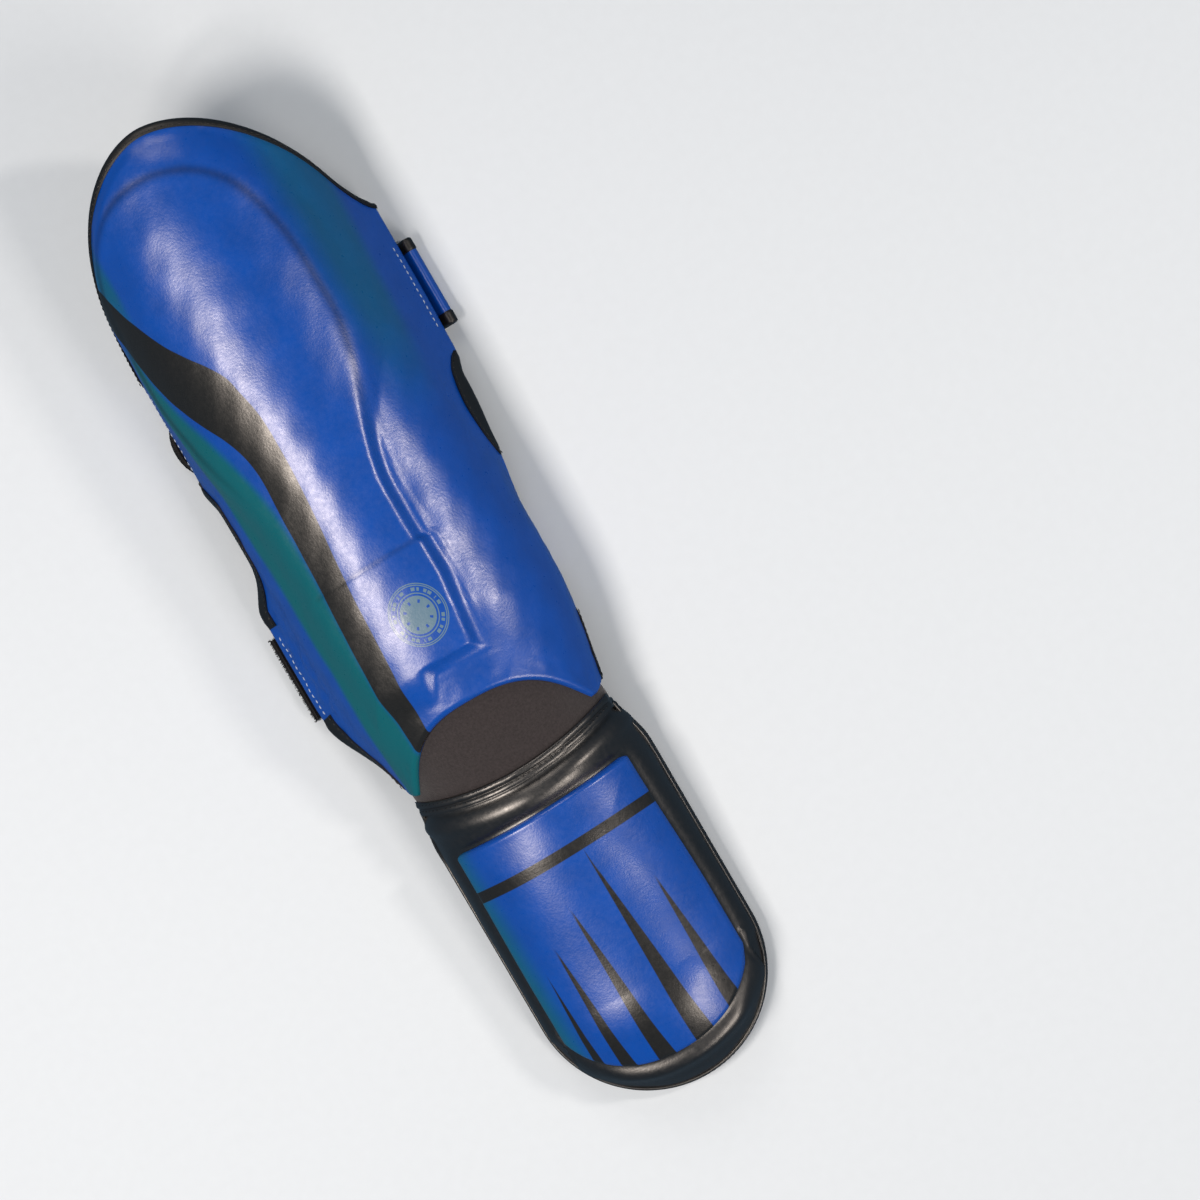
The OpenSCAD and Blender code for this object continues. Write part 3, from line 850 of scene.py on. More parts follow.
def coated_leather(name, base, prints=(), tint=None, emblem=None, rough=(0.27, 0.35), specular=0.7):
    """Polyurethane leather: a fabric with a coat that was rolled with a fine grain and left glossy.

    It gives broad soft highlights whose edges break up on the grain, and small dark pits between the pebbles.
    """
    material, tree = begin(name)
    place = add(tree, "TexCoord", {}).outputs["Object"]
    # Real pebbles are about 0.5 mm; they are drawn at 1.1 mm so that they show.
    pebbles = add(
        tree,
        "TexVoronoi",
        {"feature": "SMOOTH_F1", "Vector": place, "Scale": per_metre(1.1), "Smoothness": 0.6}
    )
    creases = add(
        tree, "TexNoise", {"Vector": place, "Scale": per_metre(2.6), "Detail": 4.0, "Roughness": 0.6}
    )
    drape = add(tree, "TexNoise", {"Vector": place, "Scale": per_metre(14), "Detail": 2.0, "Roughness": 0.5})
    fine = add(tree, "Bump", {"Strength": 0.22, "Distance": 0.12 * MM, "Height": pebbles.outputs["Distance"]})
    middle = add(
        tree, "Bump", {
            "Strength": 0.2,
            "Distance": 0.25 * MM,
            "Height": creases.outputs["Fac"],
            "Normal": fine.outputs["Normal"]
        }
    )
    broad = add(
        tree, "Bump", {
            "Strength": 0.1,
            "Distance": 0.8 * MM,
            "Height": drape.outputs["Fac"],
            "Normal": middle.outputs["Normal"]
        }
    )
    shade = add(
        tree,
        "MapRange",
        {"Value": drape.outputs["Fac"], "From Min": 0.3, "From Max": 0.7, "To Min": 0.93, "To Max": 1.05}
    )
    colour_now = add(
        tree,
        "Mix",
        {"data_type": "RGBA", "blend_type": "MULTIPLY", 0: 1.0, 6: rgba(base), 7: shade.outputs["Result"]}
    )
    last = colour_now.outputs[2]
    # Painted reflection: the flanks are blended towards a green that stands for a green surround mirrored in the
    # coat.
    if tint:
        amount = add(tree, "Attribute", {"attribute_name": "painted_reflection"}).outputs["Fac"]
        share = add(tree, "MapRange", {"Value": amount, "To Max": 0.95})
        last = add(
            tree, "Mix", {"data_type": "RGBA", 0: share.outputs["Result"], 6: last, 7: rgba(tint)}
        ).outputs[2]
    for field, ink in prints:
        last = add(
            tree, "Mix", {"data_type": "RGBA", 0: above_zero(tree, field, 0.4), 6: last, 7: rgba(ink)}
        ).outputs[2]
    if emblem:
        last = add(
            tree, "Mix", {"data_type": "RGBA", 0: emblem_mask(tree), 6: last, 7: rgba(emblem)}
        ).outputs[2]
    # Painted shade: the leather is drawn up to 60 % darker in the groove round the pad and in the crease across
    # it, where less light falls.
    painted_shade_amount = add(tree, "Attribute", {"attribute_name": "painted_shade"}).outputs["Fac"]
    painted_shade_factor = add(tree, "MapRange", {"Value": painted_shade_amount, "To Min": 1.0, "To Max": 0.4})
    last = add(
        tree,
        "Mix",
        {"data_type": "RGBA", "blend_type": "MULTIPLY", 0: 1.0, 6: last, 7: painted_shade_factor.outputs["Result"]}
    ).outputs[2]
    worn = add(
        tree,
        "MapRange",
        {
            "Value": creases.outputs["Fac"],
            "From Min": 0.3,
            "From Max": 0.7,
            "To Min": rough[0],
            "To Max": rough[1]
        }
    )
    finish_material(
        tree,
        {
            "Base Color": last,
            "Roughness": worn.outputs["Result"],
            "Specular IOR Level": specular,
            "Normal": broad.outputs["Normal"],
        },
    )
    return material


def emblem_mask(tree):
    """The round print: a disc with eight holes, three thin rings and a ring of uneven dashes."""
    place = add(tree, "Attribute", {"attribute_name": "place"}).outputs["Vector"]
    from_middle = add(
        tree, "VectorMath", {"operation": "SUBTRACT", 0: place, 1: (1.0, 2.2, 0)}
    ).outputs["Vector"]
    from_middle = add(
        tree, "VectorMath", {"operation": "MULTIPLY", 0: from_middle, 1: (1.24, 1.0, 1.0)}
    ).outputs["Vector"]
    length = add(tree, "VectorMath", {"operation": "LENGTH", 0: from_middle}).outputs["Value"]
    parts = add(tree, "SeparateXYZ", {"Vector": from_middle})

    def maths(operation, first, second, third=0.0):
        return add(tree, "Math", {"operation": operation, 0: first, 1: second, 2: third}).outputs[0]

    away = maths("DIVIDE", length, millimetres("emblem_radius"))
    turn = maths("ARCTAN2", parts.outputs["Y"], parts.outputs["X"])

    def wave(count, phase):
        return maths("SINE", maths("MULTIPLY_ADD", turn, float(count), phase), 0.0)

    ink = maths("COMPARE", away, 0.0, 0.61)
    for middle, half in ((0.69, 0.018), (0.94, 0.016), (1.0, 0.016)):
        ink = maths("MAXIMUM", ink, maths("COMPARE", away, middle, half))
    dashes = maths("GREATER_THAN", maths("ADD", wave(26, 0.4), wave(11, 1.0)), 0.1)
    ink = maths("MAXIMUM", ink, maths("MULTIPLY", maths("COMPARE", away, 0.82, 0.055), dashes))
    holes = maths("MULTIPLY", maths("COMPARE", away, 0.44, 0.055), maths("GREATER_THAN", wave(8, 0.0), 0.75))
    return maths("MULTIPLY", maths("SUBTRACT", ink, holes), 0.68)


def stretch_knit(name, base):
    """Nylon jersey laminated on neoprene: a dull close knit with a light speckle from its loops."""
    material, tree = begin(name)
    place = add(tree, "TexCoord", {}).outputs["Object"]
    # Real loops are 0.3 mm; they are drawn at 0.9 mm.
    loops = add(tree, "TexVoronoi", {"Vector": place, "Scale": per_metre(0.9)})
    speckle = add(
        tree, "TexNoise", {"Vector": place, "Scale": per_metre(1.3), "Detail": 3.0, "Roughness": 0.7}
    )
    shade = add(
        tree,
        "MapRange",
        {"Value": speckle.outputs["Fac"], "From Min": 0.3, "From Max": 0.7, "To Min": 0.72, "To Max": 1.3}
    )
    cloth = add(
        tree,
        "Mix",
        {"data_type": "RGBA", "blend_type": "MULTIPLY", 0: 1.0, 6: rgba(base), 7: shade.outputs["Result"]}
    )
    fine = add(tree, "Bump", {"Strength": 0.55, "Distance": 0.2 * MM, "Height": loops.outputs["Distance"]})
    rough = add(
        tree,
        "Bump",
        {
            "Strength": 0.3,
            "Distance": 0.3 * MM,
            "Height": speckle.outputs["Fac"],
            "Normal": fine.outputs["Normal"]
        }
    )
    finish_material(
        tree,
        {
            "Base Color": cloth.outputs[2],
            "Roughness": 0.9,
            "Specular IOR Level": 0.25,
            "Sheen Weight": 0.25,
            "Normal": rough.outputs["Normal"]
        },
    )
    return material


def woven_tape(name, base, rib, pick, roughness):
    """Woven tape on its own coordinates: ribs that run its length, crossed by picks of thread.

    The ribs catch the light as fine lines, and the picks break them into beads.
    """
    material, tree = begin(name)
    place = add(tree, "Attribute", {"attribute_name": "weave"}).outputs["Vector"]
    parts = add(tree, "SeparateXYZ", {"Vector": place})
    ribs = add(
        tree,
        "Math",
        {
            "operation": "SINE",
            0: add(
                tree, "Math", {"operation": "MULTIPLY", 0: parts.outputs["Y"], 1: 2 * math.pi / rib}
            ).outputs[0]
        }
    )
    picks = add(
        tree,
        "Math",
        {
            "operation": "SINE",
            0: add(
                tree, "Math", {"operation": "MULTIPLY", 0: parts.outputs["X"], 1: 2 * math.pi / pick}
            ).outputs[0]
        }
    )
    beads = add(tree, "Math", {"operation": "MULTIPLY_ADD", 0: picks.outputs[0], 1: 0.45, 2: ribs.outputs[0]})
    shade = add(
        tree,
        "MapRange",
        {"Value": beads.outputs[0], "From Min": -1.4, "From Max": 1.4, "To Min": 0.7, "To Max": 1.35}
    )
    cloth = add(
        tree,
        "Mix",
        {"data_type": "RGBA", "blend_type": "MULTIPLY", 0: 1.0, 6: rgba(base), 7: shade.outputs["Result"]}
    )
    relief = add(tree, "Bump", {"Strength": 0.7, "Distance": 0.25 * MM, "Height": beads.outputs[0]})
    finish_material(
        tree, {
            "Base Color": cloth.outputs[2],
            "Roughness": roughness,
            "Specular IOR Level": 0.35,
            "Normal": relief.outputs["Normal"]
        }
    )
    return material


def air_mesh(name, base):
    """Warp-knitted polyester mesh: dull strands round small dark holes, 2 mm apart."""
    material, tree = begin(name)
    place = add(tree, "Attribute", {"attribute_name": "weave"}).outputs["Vector"]
    holes = add(
        tree,
        "TexVoronoi",
        {"voronoi_dimensions": "2D", "Vector": place, "Scale": 1 / 2.0, "Randomness": 0.15}
    )
    shade = add(
        tree,
        "MapRange",
        {
            "Value": holes.outputs["Distance"],
            "From Min": 0.16,
            "From Max": 0.36,
            "To Min": 0.25,
            "To Max": 1.25
        }
    )
    cloth = add(
        tree,
        "Mix",
        {"data_type": "RGBA", "blend_type": "MULTIPLY", 0: 1.0, 6: rgba(base), 7: shade.outputs["Result"]}
    )
    relief = add(tree, "Bump", {"Strength": 0.8, "Distance": 0.4 * MM, "Height": shade.outputs["Result"]})
    finish_material(
        tree, {
            "Base Color": cloth.outputs[2],
            "Roughness": 0.85,
            "Specular IOR Level": 0.3,
            "Normal": relief.outputs["Normal"]
        }
    )
    return material


def nylon(name, base, roughness):
    """Nylon filament, drawn smooth: small soft glints along each fibre."""
    material, tree = begin(name)
    place = add(tree, "TexCoord", {}).outputs["Object"]
    twist = add(tree, "TexNoise", {"Vector": place, "Scale": per_metre(0.6), "Detail": 2.0})
    shade = add(tree, "MapRange", {"Value": twist.outputs["Fac"], "To Min": 0.7, "To Max": 1.25})
    fibre = add(
        tree,
        "Mix",
        {"data_type": "RGBA", "blend_type": "MULTIPLY", 0: 1.0, 6: rgba(base), 7: shade.outputs["Result"]}
    )
    finish_material(tree, {"Base Color": fibre.outputs[2], "Roughness": roughness, "IOR": 1.53})
    return material


def studio_floor(name):
    """Matt white paper that rolls on past the view."""
    material, tree = begin(name)
    place = add(tree, "TexCoord", {}).outputs["Object"]
    fibres = add(tree, "TexNoise", {"Vector": place, "Scale": per_metre(6), "Detail": 3.0})
    shade = add(tree, "MapRange", {"Value": fibres.outputs["Fac"], "To Min": 0.96, "To Max": 1.0})
    paper = add(
        tree, "Mix", {
            "data_type": "RGBA",
            "blend_type": "MULTIPLY",
            0: 1.0,
            6: rgba((0.6, 0.67, 0.74)),
            7: shade.outputs["Result"]
        }
    )
    finish_material(tree, {"Base Color": paper.outputs[2], "Roughness": 0.9})
    return material


MAKERS = {
    "blue_polyurethane_leather": lambda c, name: coated_leather(
        name, c.blue, (("sweep", c.sweep),), tint=c.painted_green_reflection, emblem=c.emblem
    ),
    "panel_polyurethane_leather": lambda c, name: coated_leather(
        name, c.blue, (("stripe", c.sweep), ("tapers", c.sweep)), tint=c.painted_green_reflection
    ),
    "strap_polyurethane_leather": lambda c, name: coated_leather(name, c.blue),
    "black_polyurethane_leather": lambda c, name: coated_leather(
        name, c.black, rough=(0.32, 0.42), specular=1.1
    ),
    "folded_binding_tape": lambda c, name: coated_leather(name, c.black, rough=(0.42, 0.55), specular=0.6),
    "jersey_on_neoprene": lambda c, name: stretch_knit(name, c.fabric),
    "ribbed_woven_elastic": lambda c, name: woven_tape(name, c.webbing, 1.6, 2.4, 0.7),
    "plain_woven_tape": lambda c, name: woven_tape(name, c.webbing, 1.1, 1.1, 0.6),
    "knitted_air_mesh": lambda c, name: air_mesh(name, c.webbing),
    "moulded_nylon_hooks": lambda c, name: nylon(name, c.webbing, 0.35),
    "nylon_loop_pile": lambda c, name: nylon(name, c.webbing, 0.55),
    "pale_polyester_thread": lambda c, name: nylon(name, c.pale_thread, 0.45),
    "dark_polyester_thread": lambda c, name: nylon(name, c.dark_thread, 0.4),
}


def material(name):
    """The material of that name, made once."""
    return bpy.data.materials.get(name) or MAKERS[name](bpy.context.scene.guard_colours, name)


def keep(piece, slot, *replaced):
    """Hides the CAD nodes that a piece stands for and gives the piece back. Slot is not used."""
    if replaced:
        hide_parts(*replaced)
    return piece


# ------------------------------------------------------------ straps
def shin_padding_at(y, t):
    return shin_padding(np.asarray(y, float), np.asarray(t, float))


def bezier(p0, p1, p2, p3, count):
    """Cubic curve from p0 to p3, pulled by p1 and p2."""
    k = np.linspace(0, 1, count)[:, None]
    return (1 - k) ** 3 * p0 + 3 * k * (1 - k) ** 2 * p1 + 3 * k * k * (1 - k) * p2 + k**3 * p3


def rounded_path(points, count):
    """Smooth curve through points at even spacing: Catmull-Rom pieces, read along their length."""
    ends = np.concatenate([[2 * points[0] - points[1]], points, [2 * points[-1] - points[-2]]])
    k = np.linspace(0, 1, 12, endpoint=False)[None, :, None]
    a, b, c, d = (ends[s : len(ends) - 3 + s, None] for s in range(4))
    curve = 0.5 * (2 * b + (c - a) * k + (2 * a - 5 * b + 4 * c - d) * k**2 + (3 * b - a - 3 * c + d) * k**3)
    curve = np.concatenate([curve.reshape(-1, points.shape[1]), points[-1:]])
    run = np.concatenate([[0], np.cumsum(np.linalg.norm(np.diff(curve, axis=0), axis=1))])
    at = np.linspace(0, run[-1], count)
    return np.stack([np.interp(at, run, curve[:, k]) for k in range(points.shape[1])], 1)


STRAP_GAP = 1.8
LOOSE = {"upper": 4.0, "lower": 2.6, "tongue": 3.5}


def hairpin(y, side, low_z, loose):
    """A strap's path in the XZ plane: up inside the wing, round its edge in a loose bulge, and back under."""
    reach, clear = shin_reach(y, side), STRAP_GAP + STRAP_T / 2

    def in_plane(back, depth):
        p = shin_surface(y, side * (reach - back), depth)
        return np.array([abs(p[0]), p[2]])

    inside = [in_plane(b, shin_padding_at(y, reach - b) + LINING_T + clear) for b in (18, 12, 6, 1)]
    corner = in_plane(-clear, SHIN_EDGE_DEPTH + 0.6 * clear)
    rim = in_plane(-clear, 0)
    out = unit(rim - corner)
    bottom = np.array([rim[0] - 3, low_z])
    bend = bezier(rim, rim + loose * out, bottom + np.array([2 * loose, 0]), bottom, 11)
    return np.concatenate([np.array(inside), [corner], bend])


def tucked(y, side, low_z, end_x):
    """The same path with its bend hidden under the wing: straight down from inside it and back."""
    inside = hairpin(y, side, low_z, 3.0)[:4]
    last = inside[-1]
    bend = bezier(
        last,
        last + np.array([1.5, -4.0]),
        np.array([max(last[0], end_x) + 5.0, low_z]),
        np.array([end_x, low_z]),
        13
    )
    return np.concatenate([inside, bend[1:]])


def flat_band(path, y_low, y_high, thickness, wave=0.0, corner=0.0, other=None, share=None):
    """A band carried along a path in the XZ plane, with round edges. Gives its body and weave coordinates.

    The section is a long rectangle that half circles close at its sides. A corner narrows its last stretch.
    """
    forward = along(path)
    normal = np.stack([-forward[:, 1], forward[:, 0]], 1)
    run = np.concatenate([[0], np.cumsum(np.linalg.norm(np.diff(path, axis=0), axis=1))])
    half = thickness / 2
    arc = np.linspace(-np.pi / 2, np.pi / 2, 6)
    flat = np.linspace(y_low + half, y_high - half, 14)[1:-1]
    y = np.concatenate(
        [flat, y_high - half + half * np.cos(arc), flat[::-1], y_low + half - half * np.cos(arc)]
    )
    off = np.concatenate([np.full(12, -half), half * np.sin(arc), np.full(12, half), -half * np.sin(arc)])
    middle = (y_low + y_high) / 2
    left = np.maximum(run[-1] - run, 0)[:, None]
    narrow = corner - np.sqrt(
        np.maximum(0, corner**2 - np.maximum(corner - left, 0) ** 2)
    ) if corner else 0 * left
    spread = (y_high - y_low) / 2
    y_now = middle + (y - middle)[None] * (1 - narrow / spread)
    lift = off[None] + wave * waves(run[:, None] * 1.0, y_now, 26, 21)
    shift = (
        (other - path)[:, None]
        * share(y_now)[..., None] if other is not None else np.zeros((len(path), 1, 2))
    )
    rings = np.stack(
        [
            path[:, :1] + normal[:, :1] * lift + shift[..., 0],
            np.broadcast_to(y_now, lift.shape),
            path[:, 1:] + normal[:, 1:] * lift + shift[..., 1],
        ],
        -1,
    )
    weave = np.stack([np.broadcast_to(run[:, None], lift.shape), y_now, 0 * lift], -1).reshape(-1, 3)
    return tube(rings), weave


def mirrored(path):
    return path * np.array([-1.0, 1.0])


def band_piece(name, body, path, y_low, y_high, thickness, finish, slot, replaced=(), **shape):
    """A band as a piece with its weave coordinates."""
    (points, faces), weave = flat_band(path, y_low, y_high, thickness, **shape)
    piece = new_piece(name, body, points, faces, material(finish), {"weave": weave}, sharp=50)
    return keep(piece, slot, *replaced)


def across_stitches(x, z, y_low, y_high, pitch, up=1.0):
    """A row of stitches across a strap that lies flat."""
    y = np.linspace(y_low, y_high, 40)
    path = np.stack([np.full(40, x), y, np.full(40, z)], 1)
    return sewn(path, path + np.array([0, 0, up]), pitch)


# ------------------------------------------------------------ operators: the shin
class GUARD_OT_shin_cover(bpy.types.Operator):
    """Padded leather shell of the shin, with its raised pad and prints"""

    bl_idname = "guard.shin_cover"
    bl_label = "Shin cover"

    def execute(self, context):
        y, t = shin_sheet(300, 172, 0)
        edge = shin_edge_distance(y, t)
        drop = rim_drop(edge, SHIN_RIM)
        relief = shin_relief(y, t) * smooth(0, 3, edge)
        outer = shin_surface(y, t, drop - relief)
        inner = shin_surface(y, t, shin_padding(y, t) - drop)
        rim = np.zeros(y.shape, bool)
        rim[[0, -1]] = rim[:, [0, -1]] = True
        inner[rim] = outer[rim]
        points, faces, carry = pillow(outer, inner)
        hidden = np.full(y.shape, -9.0)
        fields = {
            "sweep": carry(sweep_distance(y, t), hidden),
            # painted shade in the pad's groove and crease
            "painted_shade": carry(shin_painted_shade(y, t)),
            "place": carry(np.stack([t, y, 0 * t], -1), np.stack([t, y, 0 * t + 99], -1)),
            # painted reflection: green on the flanks
            "painted_reflection": carry(painted_flank_reflection(y, t), np.zeros(y.shape)),
        }
        piece = new_piece(
            "shin_cover_leather", "shin", points, faces, material("blue_polyurethane_leather"), fields
        )
        keep(piece, "blue_leather", "shin_cover", "shin_foam", "shin_ridge_pad")
        return {"FINISHED"}


class GUARD_OT_shin_lining(bpy.types.Operator):
    """Mesh lining inside the shin shell"""

    bl_idname = "guard.shin_lining"
    bl_label = "Shin lining"

    def execute(self, context):
        y, t = shin_sheet(150, 90, 1.6)
        edge = shin_edge_distance(y, t)
        under = shin_padding(y, t) - rim_drop(edge, SHIN_RIM)
        quilt = 0.35 * waves(t, y, 34, 31)
        rounded = LINING_T * np.sqrt(1 - (1 - np.clip((edge - 1.6) / 1.2, 0, 1)) ** 2)
        outer = shin_surface(y, t, under + 0.02)
        inner = shin_surface(y, t, under + 0.02 + rounded * (1 + 0.3 * quilt))
        points, faces, carry = pillow(outer, inner)
        weave = carry(np.stack([t, np.broadcast_to(y, t.shape), 0 * t], -1))
        piece = new_piece(
            "shin_lining_mesh", "shin", points, faces, material("knitted_air_mesh"), {"weave": weave}
        )
        keep(piece, "lining_mesh", "shin_lining")
        return {"FINISHED"}


class GUARD_OT_shin_bindings(bpy.types.Operator):
    """Folded tape round the knee edge, the two notches and the ankle corners, with its stitches"""

    bl_idname = "guard.shin_bindings"
    bl_label = "Shin bindings"

    def execute(self, context):
        side_lap, pitch = millimetres("side_lap"), millimetres("stitch_pitch")
        edges = {
            "knee_binding": (knee_edge(), millimetres("knee_lap")),
            "right_notch_binding": (
                side_edge(1, 51, 106), 3.2 + 1.4 * side_lap * np.sin(np.pi * np.linspace(0, 1, 90)) ** 0.8
            ),
            "left_notch_binding": (side_edge(-1, 33, 114), side_lap + 1.6),
            "right_ankle_binding": (side_edge(1, -71, -36), side_lap),
            "left_ankle_binding": (side_edge(-1, -71, -20), side_lap + 2.6),
        }
        for name, (path, lap) in edges.items():
            body = bound_edge(shin_at, path, lap, SHIN_RIM, SHIN_EDGE_DEPTH, millimetres("binding_t"))
            tape = new_piece(name + "_tape", "shin", *body, material("folded_binding_tape"), sharp=60)
            keep(tape, "binding_tape", name)
            face = -millimetres("binding_t")
            rows = [
                sewn(
                    edge_line(shin_at, path, lap - 1.3, face),
                    edge_line(shin_at, path, lap - 1.3, face - 1),
                    pitch
                ),
                sewn(
                    edge_line(shin_at, path, lap - 1.3, SHIN_EDGE_DEPTH - face),
                    edge_line(shin_at, path, lap - 1.3, SHIN_EDGE_DEPTH - face + 1),
                    pitch,
                ),
            ]
            thread = new_piece(name + "_thread", "shin", *joined(rows), material("dark_polyester_thread"))
            keep(thread, "dark_thread")
        return {"FINISHED"}


class GUARD_OT_anchor_threads(bpy.types.Operator):
    """Rows of thread that hold the straps and tongues to the wings"""

    bl_idname = "guard.anchor_threads"
    bl_label = "Strap anchor threads"

    def execute(self, context):
        rows = []
        for centre in STRAP_Y.values():
            for side in (-1, 1):
                y = np.linspace(centre - 23, centre + 23, 60)
                t = side * (shin_reach(y, side) - 5)
                face = -shin_relief(y, t)
                rows.append(
                    sewn(
                        shin_surface(y, t, face),
                        shin_surface(y, t, face - 1),
                        millimetres("stitch_pitch"),
                        2.2,
                        0.8,
                        0.7,
                    )
                )
        piece = new_piece("strap_anchor_thread", "shin", *joined(rows), material("pale_polyester_thread"))
        keep(piece, "pale_thread", "strap_anchor_stitches")
        return {"FINISHED"}


# ------------------------------------------------------------ operators: the ankle
class GUARD_OT_ankle_fabric(bpy.types.Operator):
    """Stretch fabric in the window between the two shells"""

    bl_idname = "guard.ankle_fabric"
    bl_label = "Ankle fabric"

    def execute(self, context):
        rows, columns, widest = 56, 110, 83.0
        lean = np.linspace(-widest, widest, columns)[None, :]
        k = np.linspace(0, 1, rows)[:, None]
        x = INSTEP_HALF_WIDTH * 0.93 * np.sin(np.radians(lean))
        y_low = seam_line(x) - TAPE_WIDTH * 0.7
        foot = instep_surface(y_low, np.where(lean < 0, -90.0, 90.0), np.abs(lean), 0.9)
        q = lean / 90 * shin_quarter(ankle_line(lean / 90)) / shin_reach(ankle_line(lean / 90), lean)
        y_high = ankle_line(q) + 7
        leg = shin_surface(y_high, lean / 90 * shin_quarter(y_high), SHIN_EDGE_DEPTH * 0.75)
        run = smooth(0, 1, k)
        line = mix(foot, leg, k[..., None])
        swell = 1.3 * np.sin(np.pi * k) + 0.25 * waves(lean, k * 40, 24, 41)
        outward_way = instep_normal(line)
        fade = (np.minimum(k, 1 - k) / 0.12).clip(0, 1)
        thick = 2.6 * np.sqrt(1 - (1 - np.minimum(fade, (widest - np.abs(lean)).clip(0, 4) / 4)) ** 2)
        outer = line + outward_way * swell[..., None] * np.broadcast_to(1 + 0 * run, swell.shape)[..., None]
        inner = outer - outward_way * thick[..., None]
        points, faces, carry = pillow(outer, inner)
        piece = new_piece("ankle_fabric", None, points, faces, material("jersey_on_neoprene"))
        keep(piece, "stretch_fabric", "ankle_panel")
        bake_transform(piece)
        return {"FINISHED"}


class GUARD_OT_ankle_seam(bpy.types.Operator):
    """Tape over the ankle seam: two rolls, two rows of thread and a thin lip"""

    bl_idname = "guard.ankle_seam"
    bl_label = "Ankle seam"

    def execute(self, context):
        def over(x, inset, depth):
            lean = np.degrees(np.arcsin(np.clip(x / instep_half_width(seam_line(x)), -1, 1)))
            return instep_surface(seam_line(x) - inset, np.where(lean < 0, -90.0, 90.0), np.abs(lean), depth)

        reach = 54.2
        x = reach * np.sin(np.linspace(-np.pi / 2, np.pi / 2, 130))[None, :]
        w = np.linspace(0, 1, 34)[:, None]
        rolls = 0.75 * np.abs(np.sin(np.pi * (w * 2))) ** 0.6 + 0.25
        lip = 0.5 * bump_at(w, 0.04, 0.035)
        edges = (
            np.sqrt(np.clip(np.minimum(w, 1 - w) / 0.06, 0, 1))
            * np.sqrt(np.clip((reach - np.abs(x)) / 1.5, 0, 1))
        )
        height = 1.55 * (rolls + lip) * edges + 0.12 * waves(x, w * 8, 8, 43)
        outer = over(x, TAPE_WIDTH * (1 - w) + 0.3, -0.9 - height * edges)
        inner = over(x, TAPE_WIDTH * (1 - w) + 0.3, 0.4 + 0 * x * w)
        rim = np.zeros(height.shape, bool)
        rim[[0, -1]] = rim[:, [0, -1]] = True
        inner[rim] = outer[rim]
        points, faces, carry = pillow(outer, inner)
        tape = new_piece(
            "ankle_seam_tape_leather", "instep", points, faces, material("black_polyurethane_leather")
        )
        keep(tape, "binding_tape", "ankle_seam_tape")
        line = np.linspace(-51.5, 51.5, 160)
        rows = []
        for inset in (0.16 * TAPE_WIDTH, 0.62 * TAPE_WIDTH):
            lift = -0.9 - 1.25
            rows.append(
                sewn(
                    over(line, inset + 0.3, lift),
                    over(line, inset + 0.3, lift - 1),
                    millimetres("stitch_pitch"),
                    2.2,
                    0.7,
                    0.7,
                )
            )
        thread = new_piece("ankle_seam_thread", "instep", *joined(rows), material("dark_polyester_thread"))
        keep(thread, "dark_thread", "ankle_seam_stitches")
        return {"FINISHED"}


# ------------------------------------------------------------ operators: the instep
def instep_grid(rows, columns, inset):
    """Y at the side, turn, angle and edge distance over the instep: a disc at the toe, then straight rows."""
    u = (2 * crowded(columns) - 1)[None, :]
    s = (crowded(rows) * 2.9)[:, None]
    v = np.maximum(0, 1 - s)
    plan_x, plan_y = u * np.sqrt(1 - v * v / 2), v * np.sqrt(1 - u * u / 2)
    level = np.hypot(plan_x, plan_y)
    per_degree = INSTEP_HEIGHT * np.pi / 180
    limit = EDGE_ANGLE - inset / per_degree
    turn = np.degrees(np.arctan2(np.where(np.abs(plan_x) < 1e-9, 1e-9, plan_x), plan_y))
    share = np.maximum(0, s - 1) / 1.9
    top = instep_start(u) - inset
    y = np.where(v > 0, TOE_CENTRE_Y, mix(TOE_CENTRE_Y, top, share))
    side = inset + (1 - level) * limit * per_degree
    start = inset + np.where(v > 0, 1e3, top - y)
    return y, turn, limit * level, np.minimum(side, start), level


def instep_padding(level, edge):
    """Thickness of the cover and its foam, thinner towards the edges."""
    near = np.maximum(smooth(0.72, 0.88, level), 1 - smooth(2, 9, edge))
    return COVER_T + INSTEP_FOAM_T * (1 - (1 - EDGE_SHARE) * near)


class GUARD_OT_instep_cover(bpy.types.Operator):
    """Padded leather shell of the instep"""

    bl_idname = "guard.instep_cover"
    bl_label = "Instep cover"

    def execute(self, context):
        y, turn, angle, edge, level = instep_grid(210, 130, 0)
        plain = instep_surface(y, turn, angle, 0.0)
        relief = instep_relief(plain[..., 0], plain[..., 1]) * smooth(0, 5, edge)
        drop = rim_drop(edge, INSTEP_RIM)
        outer = instep_surface(y, turn, angle, drop - relief)
        inner = instep_surface(y, turn, angle, instep_padding(level, edge) - drop)
        rim = np.zeros(edge.shape, bool)
        rim[[0, -1]] = rim[:, [0, -1]] = True
        inner[rim] = outer[rim]
        points, faces, carry = pillow(outer, inner)
        piece = new_piece(
            "instep_cover_leather", "instep", points, faces, material("black_polyurethane_leather")
        )
        keep(piece, "black_leather", "instep_cover", "instep_foam")
        return {"FINISHED"}


class GUARD_OT_instep_lining(bpy.types.Operator):
    """Mesh lining inside the instep shell"""

    bl_idname = "guard.instep_lining"
    bl_label = "Instep lining"

    def execute(self, context):
        y, turn, angle, edge, level = instep_grid(110, 80, 1.6)
        under = instep_padding(level, edge) - rim_drop(edge, INSTEP_RIM)
        rounded = LINING_T * np.sqrt(1 - (1 - np.clip((edge - 1.6) / 1.2, 0, 1)) ** 2)
        outer = instep_surface(y, turn, angle, under + 0.02)
        inner = instep_surface(y, turn, angle, under + 0.02 + rounded)
        points, faces, carry = pillow(outer, inner)
        weave = carry(np.stack([outer[..., 0], outer[..., 1], 0 * edge], -1))
        piece = new_piece(
            "instep_lining_mesh", "instep", points, faces, material("knitted_air_mesh"), {"weave": weave}
        )
        keep(piece, "lining_mesh", "instep_lining")
        return {"FINISHED"}


